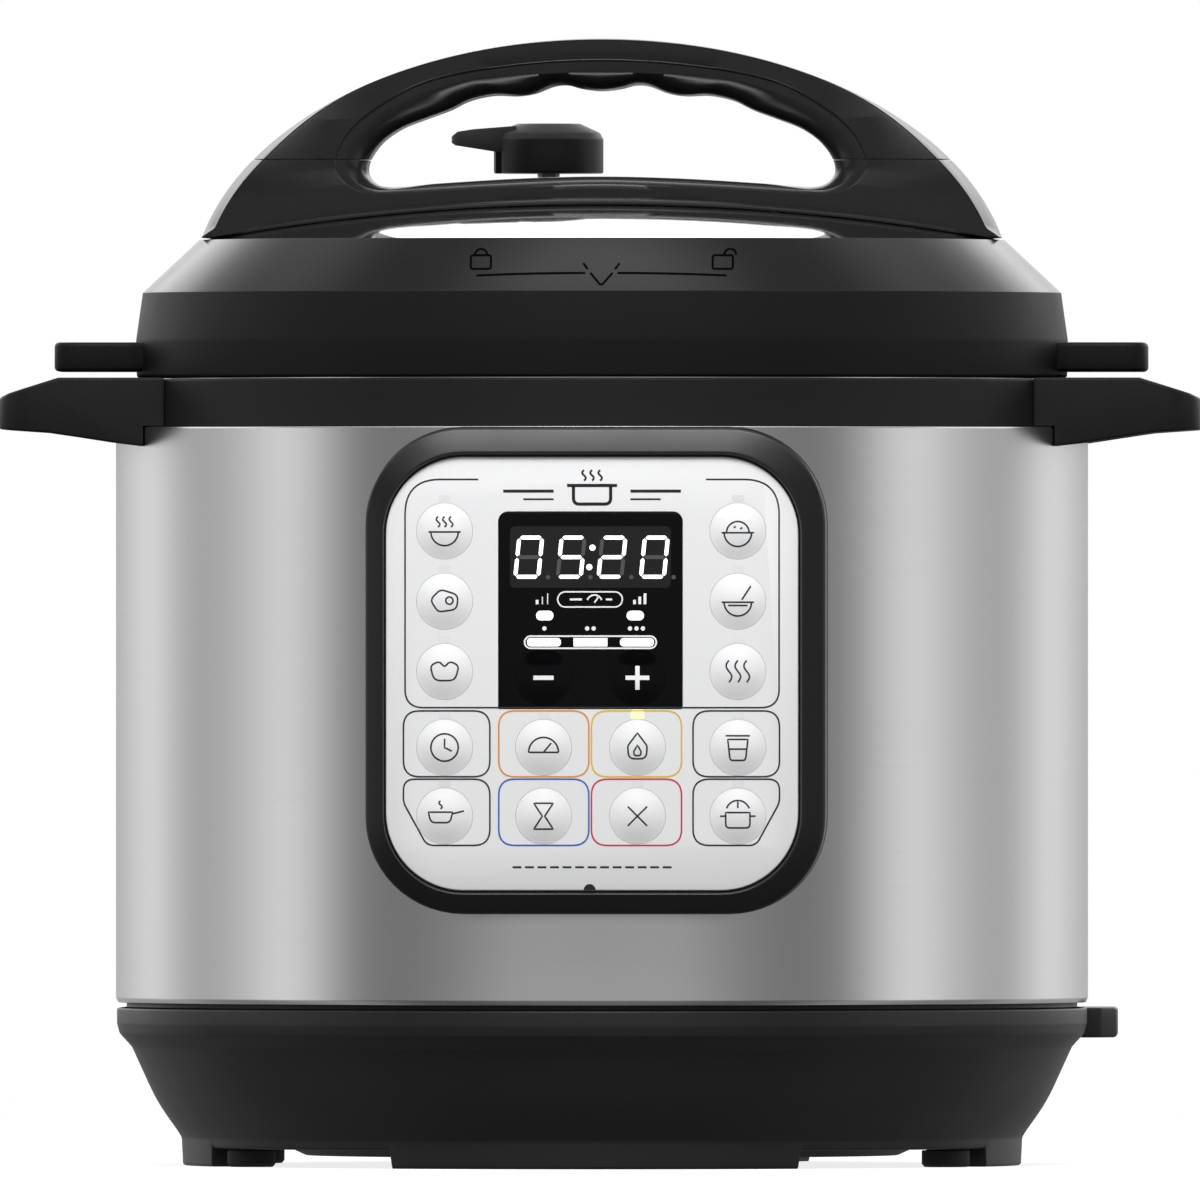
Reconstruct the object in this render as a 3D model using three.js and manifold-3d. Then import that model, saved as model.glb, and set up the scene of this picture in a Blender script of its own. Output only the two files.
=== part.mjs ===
// Electric pressure cooker with a bayonet lid, in millimetres.
// +Z is up, the control panel faces -Y, and the origin is on the table under the pot's axis.
import * as THREE from "three";
import { mergeVertices } from "three/addons/utils/BufferGeometryUtils.js";
import Module from "manifold-3d";

const wasm = await Module();
wasm.setup();

// ---- driving dimensions ----
const GAP = 0.3; // clearance between touching pieces
const RING_STEPS = 40; // segments of the casing's turned pieces
const CORE_STEPS = 20; // segments of the turned pieces inside it
const BUTTON_STEPS = 12;
const SMALL_STEPS = 16; // segments of screws and valves

const FOOT_RADIUS = 104.75; // base outer radius at the table
const BASE_UNDERSIDE = 4.5;
const BASE_TOP = 39.3;
const BAND_RADIUS = 121.25; // wide band of the base, and the steel wall above it
const LIP_RADIUS = 118.8; // where the wall turns in at the top, and the base's lip inside its foot

const DRUM_BOTTOM = 40.7;
const DRUM_TOP = 184.4;
const DRUM_WALL = 0.7;

const RIM_RADIUS = 116.5; // plastic rim above the steel wall
const RIM_TOP = 196.4;

const LINER_RADIUS = 95.2; // steel bucket that the inner pot hangs in
const FLANGE_BOTTOM = 187; // its flange, with the lugs that the lid locks under
const FLANGE_TOP = 188.4;

const POT_RADIUS = 91;
const POT_BOTTOM = 70.3;
const POT_LIP = 190.2;
const POT_WALL = 1.2;

const LID_BOTTOM = 196.8;
const LID_RING_RADIUS = 100.5; // inner edge of the lid's plastic ring
const LID_RING_TOP = 231.1;
const DOME_RADIUS = 520; // spherical radius of the steel dome
const DOME_TOP = 240.8;
const LID_WALL = 1.2;
const SKIRT_RADIUS = 107.7; // steel skirt that carries the lid's lugs

const LUG_COUNT = 6;
const LUG_ANGLE = 28;

const HANDLE_HALF_LENGTH = 102.5; // semi-axes of the elliptic lid handle
const HANDLE_RISE = 63.8;
const HANDLE_CENTRE_Z = 217.8;
const HANDLE_SPLIT_Z = 251.25;
const HANDLE_FOOT_HALF = 22;
const HANDLE_TOP_HALF = 16.5;
const HANDLE_FLANGE_HALF = 33; // the thin flange under the handle, on the dome
const HANDLE_FLANGE_RISE = 1.7;
const SCREW_X = 74; // the two screws that hold the handle, under its feet

const CARRY_REACH = 149.75; // outermost point of the side handles
const CARRY_HALF_WIDTH = 44;

const PANEL_WIDTH = 114;
const PANEL_HEIGHT = 120.5;
const PANEL_CENTRE_Z = 123;
const PANEL_FRONT = -133.5;
const OPENING_WIDTH = 102.7;
const OPENING_HEIGHT = 108;
const FASCIA_FRONT = -132.1;
const FASCIA_THICKNESS = 2.9;
const DISPLAY_WIDTH = 45.75;
const DISPLAY_HEIGHT = 49;
const DISPLAY_TOP_Z = 163.2;

const BUTTON_RADIUS = 6.7;
const BUTTON_TRAVEL_ROOM = 0.9;

const VALVE_X = 14.2; // steam valve at -X, float valve at +X, both behind the handle
const VALVE_Y = 44;

const CUP_BACK = 133.5; // rearmost face of the condensation cup
const CUP_BOTTOM = 130;
const CUP_TOP = 175;

// ---- materials ----
function finish(color, roughness, metalness = 0) {
  return new THREE.MeshStandardMaterial({ color, roughness, metalness });
}

const blackPlastic = finish(0x2b2b2d, 0.42);
const brushedSteel = finish(0xb9b9bb, 0.34, 1);
const polishedSteel = finish(0xd8d8da, 0.12, 1);
const aluminium = finish(0xa4a6a8, 0.5, 1);
const fasciaSilver = finish(0xdcdde0, 0.45);
const displayBlack = finish(0x0c0c0e, 0.12);
const silicone = finish(0xcfd2d0, 0.6);
const rubber = finish(0x1a1a1a, 0.85);
const circuitGreen = finish(0x1f5a35, 0.6);
const smokedPlastic = finish(0x8f979c, 0.15);

// ---- solids ----
const model = new THREE.Group();

// Turn any closed geometry into a manifold solid with its faces pointing out.
function solid(geometry) {
  const bare = geometry.index ? geometry.toNonIndexed() : geometry.clone();
  bare.deleteAttribute("normal");
  bare.deleteAttribute("uv");
  const merged = mergeVertices(bare, 1e-4);
  const points = merged.attributes.position.array;
  const faces = [];
  let volume = 0;
  const [a, b, c] = [new THREE.Vector3(), new THREE.Vector3(), new THREE.Vector3()];
  for (let i = 0; i < merged.index.count; i += 3) {
    const [p, q, r] = merged.index.array.slice(i, i + 3);
    if (p === q || q === r || r === p) continue;
    a.fromArray(points, 3 * p);
    b.fromArray(points, 3 * q);
    c.fromArray(points, 3 * r);
    volume += a.dot(b.cross(c));
    faces.push([p, q, r]);
  }
  const order = volume > 0 ? faces : faces.map(([p, q, r]) => [p, r, q]);
  const mesh = new wasm.Mesh({
    numProp: 3,
    vertProperties: Float32Array.from(points),
    triVerts: Uint32Array.from(order.flat()),
  });
  return new wasm.Manifold(mesh);
}

function joined(first, ...others) {
  return others.reduce((sum, other) => sum.add(other), first);
}

function cut(first, ...others) {
  return others.reduce((rest, other) => rest.subtract(other), first);
}

function addPiece(name, body, material) {
  const mesh = body.getMesh();
  const geometry = new THREE.BufferGeometry();
  geometry.setAttribute("position", new THREE.BufferAttribute(mesh.vertProperties, mesh.numProp));
  geometry.setIndex(new THREE.BufferAttribute(mesh.triVerts, 1));
  geometry.computeVertexNormals();
  const piece = new THREE.Mesh(geometry, material);
  piece.name = name;
  model.add(piece);
}

// A profile of [radius, height] points turned about a vertical axis through (x, y).
// The profile closes on itself, or starts and ends on the axis.
function turned(profile, { steps = CORE_STEPS, x = 0, y = 0 } = {}) {
  const points = profile.map(([r, z]) => new THREE.Vector2(r, z));
  const onAxis = profile[0][0] === 0 && profile.at(-1)[0] === 0;
  if (!onAxis) points.push(points[0].clone());
  const geometry = new THREE.LatheGeometry(points, steps);
  geometry.rotateX(Math.PI / 2).translate(x, y, 0);
  return solid(geometry);
}

// The same, about an axis along Y through (x, z); heights run along +Y.
function turnedAlongY(profile, x, z, steps = BUTTON_STEPS) {
  const points = profile.map(([r, y]) => new THREE.Vector2(r, y));
  const geometry = new THREE.LatheGeometry(points, steps);
  return solid(geometry.translate(x, 0, z));
}

function cylinder(radius, low, high, { steps = SMALL_STEPS, x = 0, y = 0 } = {}) {
  return turned([[0, low], [radius, low], [radius, high], [0, high]], { steps, x, y });
}

function box(x0, x1, y0, y1, z0, z1) {
  const geometry = new THREE.BoxGeometry(x1 - x0, y1 - y0, z1 - z0);
  return solid(geometry.translate((x0 + x1) / 2, (y0 + y1) / 2, (z0 + z1) / 2));
}

// A plan outline in X and Y, raised from one height to another.
function raised(shape, low, high, curveSegments = 8) {
  const options = { depth: high - low, bevelEnabled: false, curveSegments };
  return solid(new THREE.ExtrudeGeometry(shape, options).translate(0, 0, low));
}

// A front-view outline in X and Z, pushed from y0 back to y1.
function pushedBack(shape, y0, y1, options = {}) {
  const settings = { depth: y1 - y0, bevelEnabled: false, curveSegments: 6, ...options };
  const geometry = new THREE.ExtrudeGeometry(shape, settings);
  return solid(geometry.rotateX(Math.PI / 2).translate(0, y1, 0));
}

// A side-view outline in Y and Z, run from x0 to x1.
function runAcross(shape, x0, x1) {
  const geometry = new THREE.ExtrudeGeometry(shape, { depth: x1 - x0, bevelEnabled: false });
  const [yAxis, zAxis, xAxis] = [
    new THREE.Vector3(0, 1, 0), new THREE.Vector3(0, 0, 1), new THREE.Vector3(1, 0, 0),
  ];
  geometry.applyMatrix4(new THREE.Matrix4().makeBasis(yAxis, zAxis, xAxis));
  return solid(geometry.translate(x0, 0, 0));
}

function polygon(points) {
  return new THREE.Shape(points.map(([u, v]) => new THREE.Vector2(u, v)));
}

function roundedRectangle(width, height, radius, centreU = 0, centreV = 0) {
  const [u0, u1] = [centreU - width / 2, centreU + width / 2];
  const [v0, v1] = [centreV - height / 2, centreV + height / 2];
  const quarter = Math.PI / 2;
  const shape = new THREE.Shape();
  shape.absarc(u1 - radius, v0 + radius, radius, -quarter, 0);
  shape.absarc(u1 - radius, v1 - radius, radius, 0, quarter);
  shape.absarc(u0 + radius, v1 - radius, radius, quarter, 2 * quarter);
  shape.absarc(u0 + radius, v0 + radius, radius, 2 * quarter, 3 * quarter);
  shape.closePath();
  return shape;
}

// Part of a flat ring between two radii, centred on an angle given in degrees.
function ringSector(inner, outer, centre, spread, low, high) {
  const start = THREE.MathUtils.degToRad(centre - spread / 2);
  const end = THREE.MathUtils.degToRad(centre + spread / 2);
  const shape = new THREE.Shape();
  shape.absarc(0, 0, outer, start, end, false);
  shape.absarc(0, 0, inner, end, start, true);
  shape.closePath();
  return raised(shape, low, high, 4);
}

// Points of the circular arc from one point to another that passes a middle one.
function arcThrough(from, middle, to, steps) {
  const [ax, ay, bx, by, cx, cy] = [...from, ...middle, ...to];
  const d = 2 * (ax * (by - cy) + bx * (cy - ay) + cx * (ay - by));
  const [a2, b2, c2] = [ax * ax + ay * ay, bx * bx + by * by, cx * cx + cy * cy];
  const ox = (a2 * (by - cy) + b2 * (cy - ay) + c2 * (ay - by)) / d;
  const oy = (a2 * (cx - bx) + b2 * (ax - cx) + c2 * (bx - ax)) / d;
  const radius = Math.hypot(ax - ox, ay - oy);
  const start = Math.atan2(ay - oy, ax - ox);
  const sweep = Math.atan2(cy - oy, cx - ox) - start;
  const points = [];
  for (let i = 0; i <= steps; i += 1) {
    const angle = start + (sweep * i) / steps;
    points.push([ox + radius * Math.cos(angle), oy + radius * Math.sin(angle)]);
  }
  return points;
}

// Height of the dome's outer face at a distance from the axis.
function domeHeight(radius) {
  return DOME_TOP - (DOME_RADIUS - Math.sqrt(DOME_RADIUS ** 2 - radius ** 2));
}

function domePoints(offset, edge, steps = 4) {
  const points = [];
  for (let i = 0; i <= steps; i += 1) {
    const radius = (edge * i) / steps;
    points.push([radius, domeHeight(radius) + offset]);
  }
  return points;
}

function mirrored(body, side) {
  return side > 0 ? body : body.mirror([1, 0, 0]);
}

const SIDES = [["left", -1], ["right", 1]];

// ---- base ----
const INLET = { y: 30, halfWidth: 16.5, bottom: 11.5, top: 30.8, face: 104 };

function inletHood() {
  const outline = polygon([[100, 8], [124.5, 8], [128.6, 14], [128.6, 46], [124.5, 52], [100, 52]]);
  return cut(raised(outline, 31.8, BASE_TOP), cylinder(LIP_RADIUS, 30, 41, { steps: RING_STEPS }));
}

function baseSkirts() {
  const parts = [];
  for (const [centre, spread] of [[90, 58], [270, 58], [0, 46], [180, 46]]) {
    parts.push(ringSector(97.5, FOOT_RADIUS, centre, spread, 0, BASE_UNDERSIDE + 1));
  }
  return parts;
}

function addBase() {
  const bowl = arcThrough([105.5, 8], [111.3, 16], [117.5, 29.6], 4);
  const bowlInside = arcThrough([114.6, 29.6], [108.6, 17], [103.2, 9.6], 2);
  const shell = turned([
    [79, BASE_UNDERSIDE], [FOOT_RADIUS, BASE_UNDERSIDE], [FOOT_RADIUS, 6], ...bowl,
    [120.6, 33], [BAND_RADIUS, 35.5], [BAND_RADIUS, BASE_TOP],
    [LIP_RADIUS, BASE_TOP + 0.3], [LIP_RADIUS, 48], [116.2, 48], [116.2, 34],
    ...bowlInside, [101, 7.1], [79, 7.1],
  ], { steps: RING_STEPS });
  const { y, halfWidth, bottom, top } = INLET;
  const inletCut = box(84, 130, y - halfWidth, y + halfWidth, bottom, top);
  addPiece("base_housing", cut(joined(shell, ...baseSkirts(), inletHood()), inletCut), blackPlastic);

  const vents = [];
  for (let i = 0; i < 10; i += 1) {
    const slot = box(34, 56, -1.6, 1.6, 0, 12);
    vents.push(slot.rotate([0, 0, 36 * i]));
  }
  const cover = turned([
    [0, 2.5], [74, 2.5], [78.4, BASE_UNDERSIDE], [78.4, 7.6], [84, 7.6], [84, 9.4],
    [76, 9.4], [74, 4.6], [0, 4.6],
  ]);
  addPiece("bottom_cover", cut(cover, ...vents), blackPlastic);

  for (const [end, ySign] of [["front", -1], ["rear", 1]]) {
    for (const [side, xSign] of SIDES) {
      const place = { x: xSign * 86.5, y: ySign * 46, steps: SMALL_STEPS };
      const profile = [[0, 0], [5.4, 0], [6, 0.7], [6, BASE_UNDERSIDE - GAP], [0, BASE_UNDERSIDE - GAP]];
      addPiece(`foot_${end}_${side}`, turned(profile, place), rubber);
    }
  }
}

function addPowerInlet() {
  const { y, halfWidth, bottom, top, face } = INLET;
  const [y0, y1] = [y - halfWidth + GAP, y + halfWidth - GAP];
  const [z0, z1] = [bottom + GAP, top - GAP];
  const block = box(86, face, y0, y1, z0, z1);
  const socket = box(88, face + 1, y0 + 4, y1 - 4, z0 + 3, z1 - 3);
  const pins = [[-7, -1.5], [0, 2], [7, -1.5]].map(([dy, dz]) => {
    const middle = (z0 + z1) / 2 + dz;
    return box(87, 101, y + dy - 1, y + dy + 1, middle - 2, middle + 2);
  });
  addPiece("power_inlet", joined(cut(block, socket), ...pins), blackPlastic);

  const board = box(-40, 40, -62, -12, 16, 17.6);
  const relay = box(8, 27, -40, -24, 17.5, 33);
  const capacitor = box(-30, -14, -52, -44, 17.5, 30);
  addPiece("power_board", joined(board, relay, capacitor), circuitGreen);
}

// ---- steel wall, rim and side handles ----
function panelOutline(extra = 0) {
  return roundedRectangle(
    PANEL_WIDTH + 2 * extra, PANEL_HEIGHT + 2 * extra, 24 + extra, 0, PANEL_CENTRE_Z,
  );
}

function addShell() {
  const wall = turned([
    [BAND_RADIUS, DRUM_BOTTOM], [BAND_RADIUS + 0.25, DRUM_BOTTOM + 1], [BAND_RADIUS + 0.25, 181.6],
    [120.3, 183.8], [LIP_RADIUS, DRUM_TOP], [117.1, DRUM_TOP], [117.1, DRUM_TOP - DRUM_WALL],
    [LIP_RADIUS, DRUM_TOP - DRUM_WALL], [BAND_RADIUS - 0.5, 181.2], [BAND_RADIUS - 0.5, DRUM_BOTTOM],
  ], { steps: RING_STEPS });
  const opening = pushedBack(panelOutline(0.4), -140, -80);
  addPiece("housing_shell", cut(wall, opening), brushedSteel);

  addPiece("upper_rim", turned([
    [96.2, 178.3], [119.5, 178.3], [119.5, 181], [116.4, 181.2], [RIM_RADIUS, 184.9],
    [RIM_RADIUS, RIM_TOP], [109.2, RIM_TOP], [109.2, 181], [96.2, 181],
  ], { steps: RING_STEPS }), blackPlastic);
}

function carryHandle() {
  const profile = polygon([
    [108, RIM_TOP + GAP], [134.75, RIM_TOP + GAP], [147.2, 192.8], [CARRY_REACH, 191.6],
    [CARRY_REACH, 183.8], [138, 183], [129.2, 181.7], [121.5, 180.5], [108, 178.8],
  ]);
  const plan = roundedRectangle(60, 2 * CARRY_HALF_WIDTH, 10, CARRY_REACH - 30, 0);
  const blank = pushedBack(profile, -CARRY_HALF_WIDTH, CARRY_HALF_WIDTH);
  const bar = blank.intersect(raised(plan, 170, 200));
  const finSlot = box(123.2, 132.4, -20.5, 20.5, 170, 200);
  const drumRoom = cylinder(BAND_RADIUS + 0.7, 160, 184.9, { steps: RING_STEPS });
  const rimRoom = cylinder(RIM_RADIUS + GAP + 0.1, 184, 200, { steps: RING_STEPS });
  return cut(bar, finSlot, drumRoom, rimRoom);
}

function addCarryHandles() {
  for (const [side, sign] of SIDES) {
    addPiece(`${side}_carry_handle`, mirrored(carryHandle(), sign), blackPlastic);
  }
}

// ---- liner, heater and sensors ----
function lugs(inner, outer, low, high) {
  const rings = [];
  for (let i = 0; i < LUG_COUNT; i += 1) {
    rings.push(ringSector(inner, outer, (360 / LUG_COUNT) * (i + 0.5), LUG_ANGLE, low, high));
  }
  return rings;
}

function addLiner() {
  addPiece("outer_pot", turned([
    [76, 60.4], [88, 60.4], [LINER_RADIUS, 68], [LINER_RADIUS, FLANGE_BOTTOM - GAP],
    [LINER_RADIUS - 1.2, FLANGE_BOTTOM - GAP], [LINER_RADIUS - 1.2, 68.5], [87.5, 61.6], [76, 61.6],
  ]), brushedSteel);
  const flange = turned([
    [LINER_RADIUS - 1.2, FLANGE_BOTTOM], [100.2, FLANGE_BOTTOM],
    [100.2, FLANGE_TOP], [LINER_RADIUS - 1.2, FLANGE_TOP],
  ]);
  const flangeLugs = lugs(99.8, 104.5, FLANGE_BOTTOM, FLANGE_TOP);
  addPiece("liner_flange", joined(flange, ...flangeLugs), brushedSteel);
}

function coilSpring(radius, wire, low, high, turns) {
  class Helix extends THREE.Curve {
    getPoint(t) {
      const angle = 2 * Math.PI * turns * t;
      const z = low + wire + (high - low - 2 * wire) * t;
      return new THREE.Vector3(radius * Math.cos(angle), radius * Math.sin(angle), z);
    }
  }
  const section = new THREE.Shape().absarc(0, 0, wire, 0, 2 * Math.PI);
  const extrudePath = new Helix();
  const options = { extrudePath, steps: 10 * turns, curveSegments: 2, bevelEnabled: false };
  return solid(new THREE.ExtrudeGeometry(section, options));
}

function addHeater() {
  addPiece("heating_plate", turned([
    [17, 60.5], [71, 60.5], [73, 62], [73, 66], [69, 69.9], [17, 69.9],
  ]), aluminium);
  addPiece("heating_element", turned([
    [46, 56.2], [48, 54.2], [52, 54.2], [54, 56.2], [54, 60.1], [46, 60.1],
  ]), aluminium);
  addPiece("temperature_sensor", turned([
    [0, 58], [9, 58], [9, 61], [14.5, 61], [14.5, 69], [13.5, 70], [0, 70],
  ]), aluminium);
  addPiece("sensor_spring", coilSpring(6.6, 0.7, 44.8, 55.4, 4), brushedSteel);
  const seat = cut(box(-11, 11, -9, 9, 41, 44.4), cylinder(3, 38, 50));
  const bracket = joined(seat, box(-44, -10, -6, 6, 41, 42.6), box(10, 44, -6, 6, 41, 42.6));
  const legs = [-43.5, 41.5].map((x) => box(x, x + 2, -6, 6, 41.5, 53.9));
  addPiece("sensor_bracket", joined(bracket, ...legs), brushedSteel);
  addPiece("pressure_switch", box(18, 32, -26, -12, 47, 60.1), displayBlack);
  addPiece("thermal_fuse", box(-38, -22, -24, -18, 54, 60.1), silicone);
}

// ---- control panel ----
function addPanelFrame() {
  const [back, edge, inset] = [-104, 3, 2.5];
  const frame = pushedBack(panelOutline(-inset), PANEL_FRONT + edge, back, {
    depth: back - PANEL_FRONT - edge, bevelEnabled: true, bevelThickness: edge, bevelSize: inset,
    bevelSegments: 2,
  });
  const trimmed = frame.trimByPlane([0, -1, 0], -back);
  const rounded = (width, height, radius) => roundedRectangle(width, height, radius, 0, PANEL_CENTRE_Z);
  const opening = pushedBack(rounded(OPENING_WIDTH, OPENING_HEIGHT, 20), -140, -128.9);
  const ledge = pushedBack(rounded(OPENING_WIDTH - 4, OPENING_HEIGHT - 4, 18), -130, -126);
  const cavity = pushedBack(rounded(PANEL_WIDTH - 6, PANEL_HEIGHT - 6, 21), -126.6, -100);
  const rimRoom = cylinder(120.3, 177.6, 190, { steps: RING_STEPS });
  addPiece("panel_frame", cut(trimmed, opening, ledge, cavity, rimRoom), blackPlastic);
}

const COLUMNS = [-36.5, -12, 11.25, 36.1];
const UPPER_ROWS = [158.3, 140.9, 123.5];
const LOWER_ROWS = [104.75, 87.75];
const BUTTONS = [
  ["button_soup", COLUMNS[0], UPPER_ROWS[0]],
  ["button_meat", COLUMNS[0], UPPER_ROWS[1]],
  ["button_bean", COLUMNS[0], UPPER_ROWS[2]],
  ["button_slow_cook", COLUMNS[0], LOWER_ROWS[0]],
  ["button_saute", COLUMNS[0], LOWER_ROWS[1]],
  ["button_pressure_level", COLUMNS[1], LOWER_ROWS[0]],
  ["button_delay_start", COLUMNS[1], LOWER_ROWS[1]],
  ["button_keep_warm", COLUMNS[2], LOWER_ROWS[0]],
  ["button_cancel", COLUMNS[2], LOWER_ROWS[1]],
  ["button_rice", COLUMNS[3], UPPER_ROWS[0]],
  ["button_porridge", COLUMNS[3], UPPER_ROWS[1]],
  ["button_steam", COLUMNS[3], UPPER_ROWS[2]],
  ["button_yogurt", COLUMNS[3], LOWER_ROWS[0]],
  ["button_pressure_cook", COLUMNS[3], LOWER_ROWS[1]],
];
const DISPLAY_BUTTONS = [
  ["button_minus", COLUMNS[1], 122],
  ["button_plus", COLUMNS[2], 122],
];

function buttonHole(x, z) {
  const radius = BUTTON_RADIUS + GAP;
  return turnedAlongY([[0, -140], [radius, -140], [radius, -120], [0, -120]], x, z);
}

function addButton(name, x, z, material) {
  const back = FASCIA_FRONT + FASCIA_THICKNESS + GAP;
  const flange = BUTTON_RADIUS + 1.1;
  const profile = [
    [0, FASCIA_FRONT - 1.2], [4.4, FASCIA_FRONT - 0.8], [BUTTON_RADIUS, FASCIA_FRONT - 0.1],
    [BUTTON_RADIUS, back], [flange, back], [flange, back + 0.6], [0, back + 0.6],
  ];
  addPiece(name, turnedAlongY(profile, x, z), material);
}

function addControls() {
  const displayZ = DISPLAY_TOP_Z - DISPLAY_HEIGHT / 2;
  const windowOutline = (shrink) => roundedRectangle(
    DISPLAY_WIDTH - 2 * shrink, DISPLAY_HEIGHT - 2 * shrink, 3, -0.4, displayZ,
  );
  const fasciaBack = FASCIA_FRONT + FASCIA_THICKNESS;
  const outline = roundedRectangle(OPENING_WIDTH - 0.6, OPENING_HEIGHT - 0.6, 19.7, 0, PANEL_CENTRE_Z);
  const sheet = pushedBack(outline, FASCIA_FRONT, fasciaBack);
  const holes = BUTTONS.map(([, x, z]) => buttonHole(x, z));
  addPiece("panel_fascia", cut(sheet, pushedBack(windowOutline(0), -140, -120), ...holes), fasciaSilver);

  const glass = pushedBack(windowOutline(GAP), FASCIA_FRONT, fasciaBack - 0.6);
  const displayHoles = DISPLAY_BUTTONS.map(([, x, z]) => buttonHole(x, z));
  addPiece("display_window", cut(glass, ...displayHoles), displayBlack);
  addPiece("led_display", box(-20.5, 19.5, fasciaBack - 0.2, fasciaBack + 1.2, 144, 160), displayBlack);

  for (const [name, x, z] of BUTTONS) addButton(name, x, z, fasciaSilver);
  for (const [name, x, z] of DISPLAY_BUTTONS) addButton(name, x, z, displayBlack);

  const boardFront = fasciaBack + GAP + 0.6 + BUTTON_TRAVEL_ROOM;
  addPiece("control_board", box(-44, 44, boardFront, boardFront + 1.6, 78, 168), circuitGreen);
}

// ---- condensation cup ----
function addCondensationCup() {
  const plate = box(-26.5, 26.5, 112, 122.9, CUP_BOTTOM + 6, CUP_TOP - 2);
  const holder = [plate];
  for (const side of [-1, 1]) {
    const [inner, outer, lip] = [23.6 * side, 26.5 * side, 21.9 * side];
    const [x0, x1] = [Math.min(inner, outer), Math.max(inner, outer)];
    holder.push(box(x0, x1, 112, 127.6, CUP_BOTTOM + 6, CUP_TOP - 2));
    holder.push(box(Math.min(lip, outer), Math.max(lip, outer), 126, 127.6, CUP_BOTTOM + 6, CUP_TOP - 2));
  }
  const drumRoom = cylinder(BAND_RADIUS + 0.65, 120, 180, { steps: RING_STEPS });
  addPiece("cup_holder", cut(joined(...holder), drumRoom), blackPlastic);

  const body = box(-21.4, 21.4, 123.3, CUP_BACK, CUP_BOTTOM, CUP_TOP);
  const rails = box(-23.2, 23.2, 123.3, 125.6, CUP_BOTTOM + 4, CUP_TOP);
  const inside = box(-19.9, 19.9, 124.8, CUP_BACK - 1.5, CUP_BOTTOM + 1.5, CUP_TOP + 1);
  addPiece("condensation_cup", cut(joined(body, rails), inside), smokedPlastic);
}

// ---- inner pot and lid ----
function addInnerPot() {
  const inside = POT_RADIUS - POT_WALL;
  const floor = POT_BOTTOM + POT_WALL;
  const cornerTop = POT_BOTTOM + 11;
  const outerCorner = arcThrough([80, POT_BOTTOM], [87.8, POT_BOTTOM + 3.2], [POT_RADIUS, cornerTop], 3);
  const innerCorner = arcThrough([inside, cornerTop], [87, POT_BOTTOM + 4], [80, floor], 3);
  addPiece("inner_pot", turned([
    [0, POT_BOTTOM], ...outerCorner, [POT_RADIUS, 187], [92.4, 188.8], [97.8, 188.8],
    [98.1, POT_LIP], [92, POT_LIP], [inside, 187.6], ...innerCorner, [0, floor],
  ]), brushedSteel);
}

function addSealingRing() {
  addPiece("sealing_ring", turned([
    [91.6, POT_LIP + GAP], [98.9, POT_LIP + GAP], [99.4, 192], [99.4, 202.5], [91, 202.5],
    [91, 199.2], [96.4, 198.6], [96.4, 193.6], [91.6, 192.6],
  ], { steps: RING_STEPS }), silicone);
  addPiece("seal_rack", turned([
    [89.2, 192.4], [90.4, 192.4], [90.4, 202.9], [103, 202.9], [103, 223.6],
    [101.8, 223.6], [101.8, 204.1], [89.2, 204.1],
  ], { steps: RING_STEPS }), polishedSteel);
}

function lidFin() {
  const plan = new THREE.Shape();
  plan.moveTo(104, -43).lineTo(107.5, -43);
  plan.quadraticCurveTo(113, -22, 124, -20.5).lineTo(130, -20).quadraticCurveTo(136.5, -19, 136.5, -12);
  plan.lineTo(136.5, 12).quadraticCurveTo(136.5, 19, 130, 20).lineTo(124, 20.5);
  plan.quadraticCurveTo(113, 22, 107.5, 43).lineTo(104, 43);
  return cut(raised(plan, 198.3, 205.6, 5), cylinder(114.1, 190, 210, { steps: RING_STEPS }));
}

function addLid() {
  const [valveHole, pipeHole] = [2.8, 4.1];
  const shell = turned([
    ...domePoints(0, 99.6), [100.2, 228.4], [106.4, 222.6], [SKIRT_RADIUS, 220.6], [SKIRT_RADIUS, 183.6],
    [SKIRT_RADIUS - LID_WALL, 183.6], [SKIRT_RADIUS - LID_WALL, 220], [105.4, 221.8], [99, 227.8],
    ...domePoints(-LID_WALL, 98.4).reverse(),
  ], { steps: RING_STEPS });
  const holes = [
    cylinder(pipeHole, 220, 250, { x: -VALVE_X, y: VALVE_Y }),
    cylinder(valveHole, 220, 250, { x: VALVE_X, y: VALVE_Y }),
    ...SIDES.map(([, sign]) => cylinder(2.6, 220, 250, { x: sign * SCREW_X })),
  ];
  const skirtLugs = lugs(101.7, SKIRT_RADIUS - 0.5, 183.6, 185.2);
  addPiece("pressure_lid", cut(joined(shell, ...skirtLugs), ...holes), polishedSteel);

  const ring = turned([
    [113.8, LID_BOTTOM], [116.3, LID_BOTTOM], [116.5, 206], [115.4, 215.5], [113.8, 219],
    [111.25, 221.25], [LID_RING_RADIUS, LID_RING_TOP], [LID_RING_RADIUS, 229.2],
    [106.9, 223.2], [108.1, 221.3], [108.1, 214], [110.2, 214], [112, 217.4], [113.8, 214],
  ], { steps: RING_STEPS });
  const fins = SIDES.map(([, sign]) => mirrored(lidFin(), sign));
  addPiece("lid_rim", joined(ring, ...fins), blackPlastic);
}

// ---- lid handle ----
function handleOutline() {
  const start = Math.asin((229 - HANDLE_CENTRE_Z) / HANDLE_RISE);
  const points = [];
  const steps = 32;
  for (let i = 0; i <= steps; i += 1) {
    const angle = start + ((Math.PI - 2 * start) * i) / steps;
    points.push([
      HANDLE_HALF_LENGTH * Math.cos(angle), HANDLE_CENTRE_Z + HANDLE_RISE * Math.sin(angle),
    ]);
  }
  return polygon(points);
}

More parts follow.
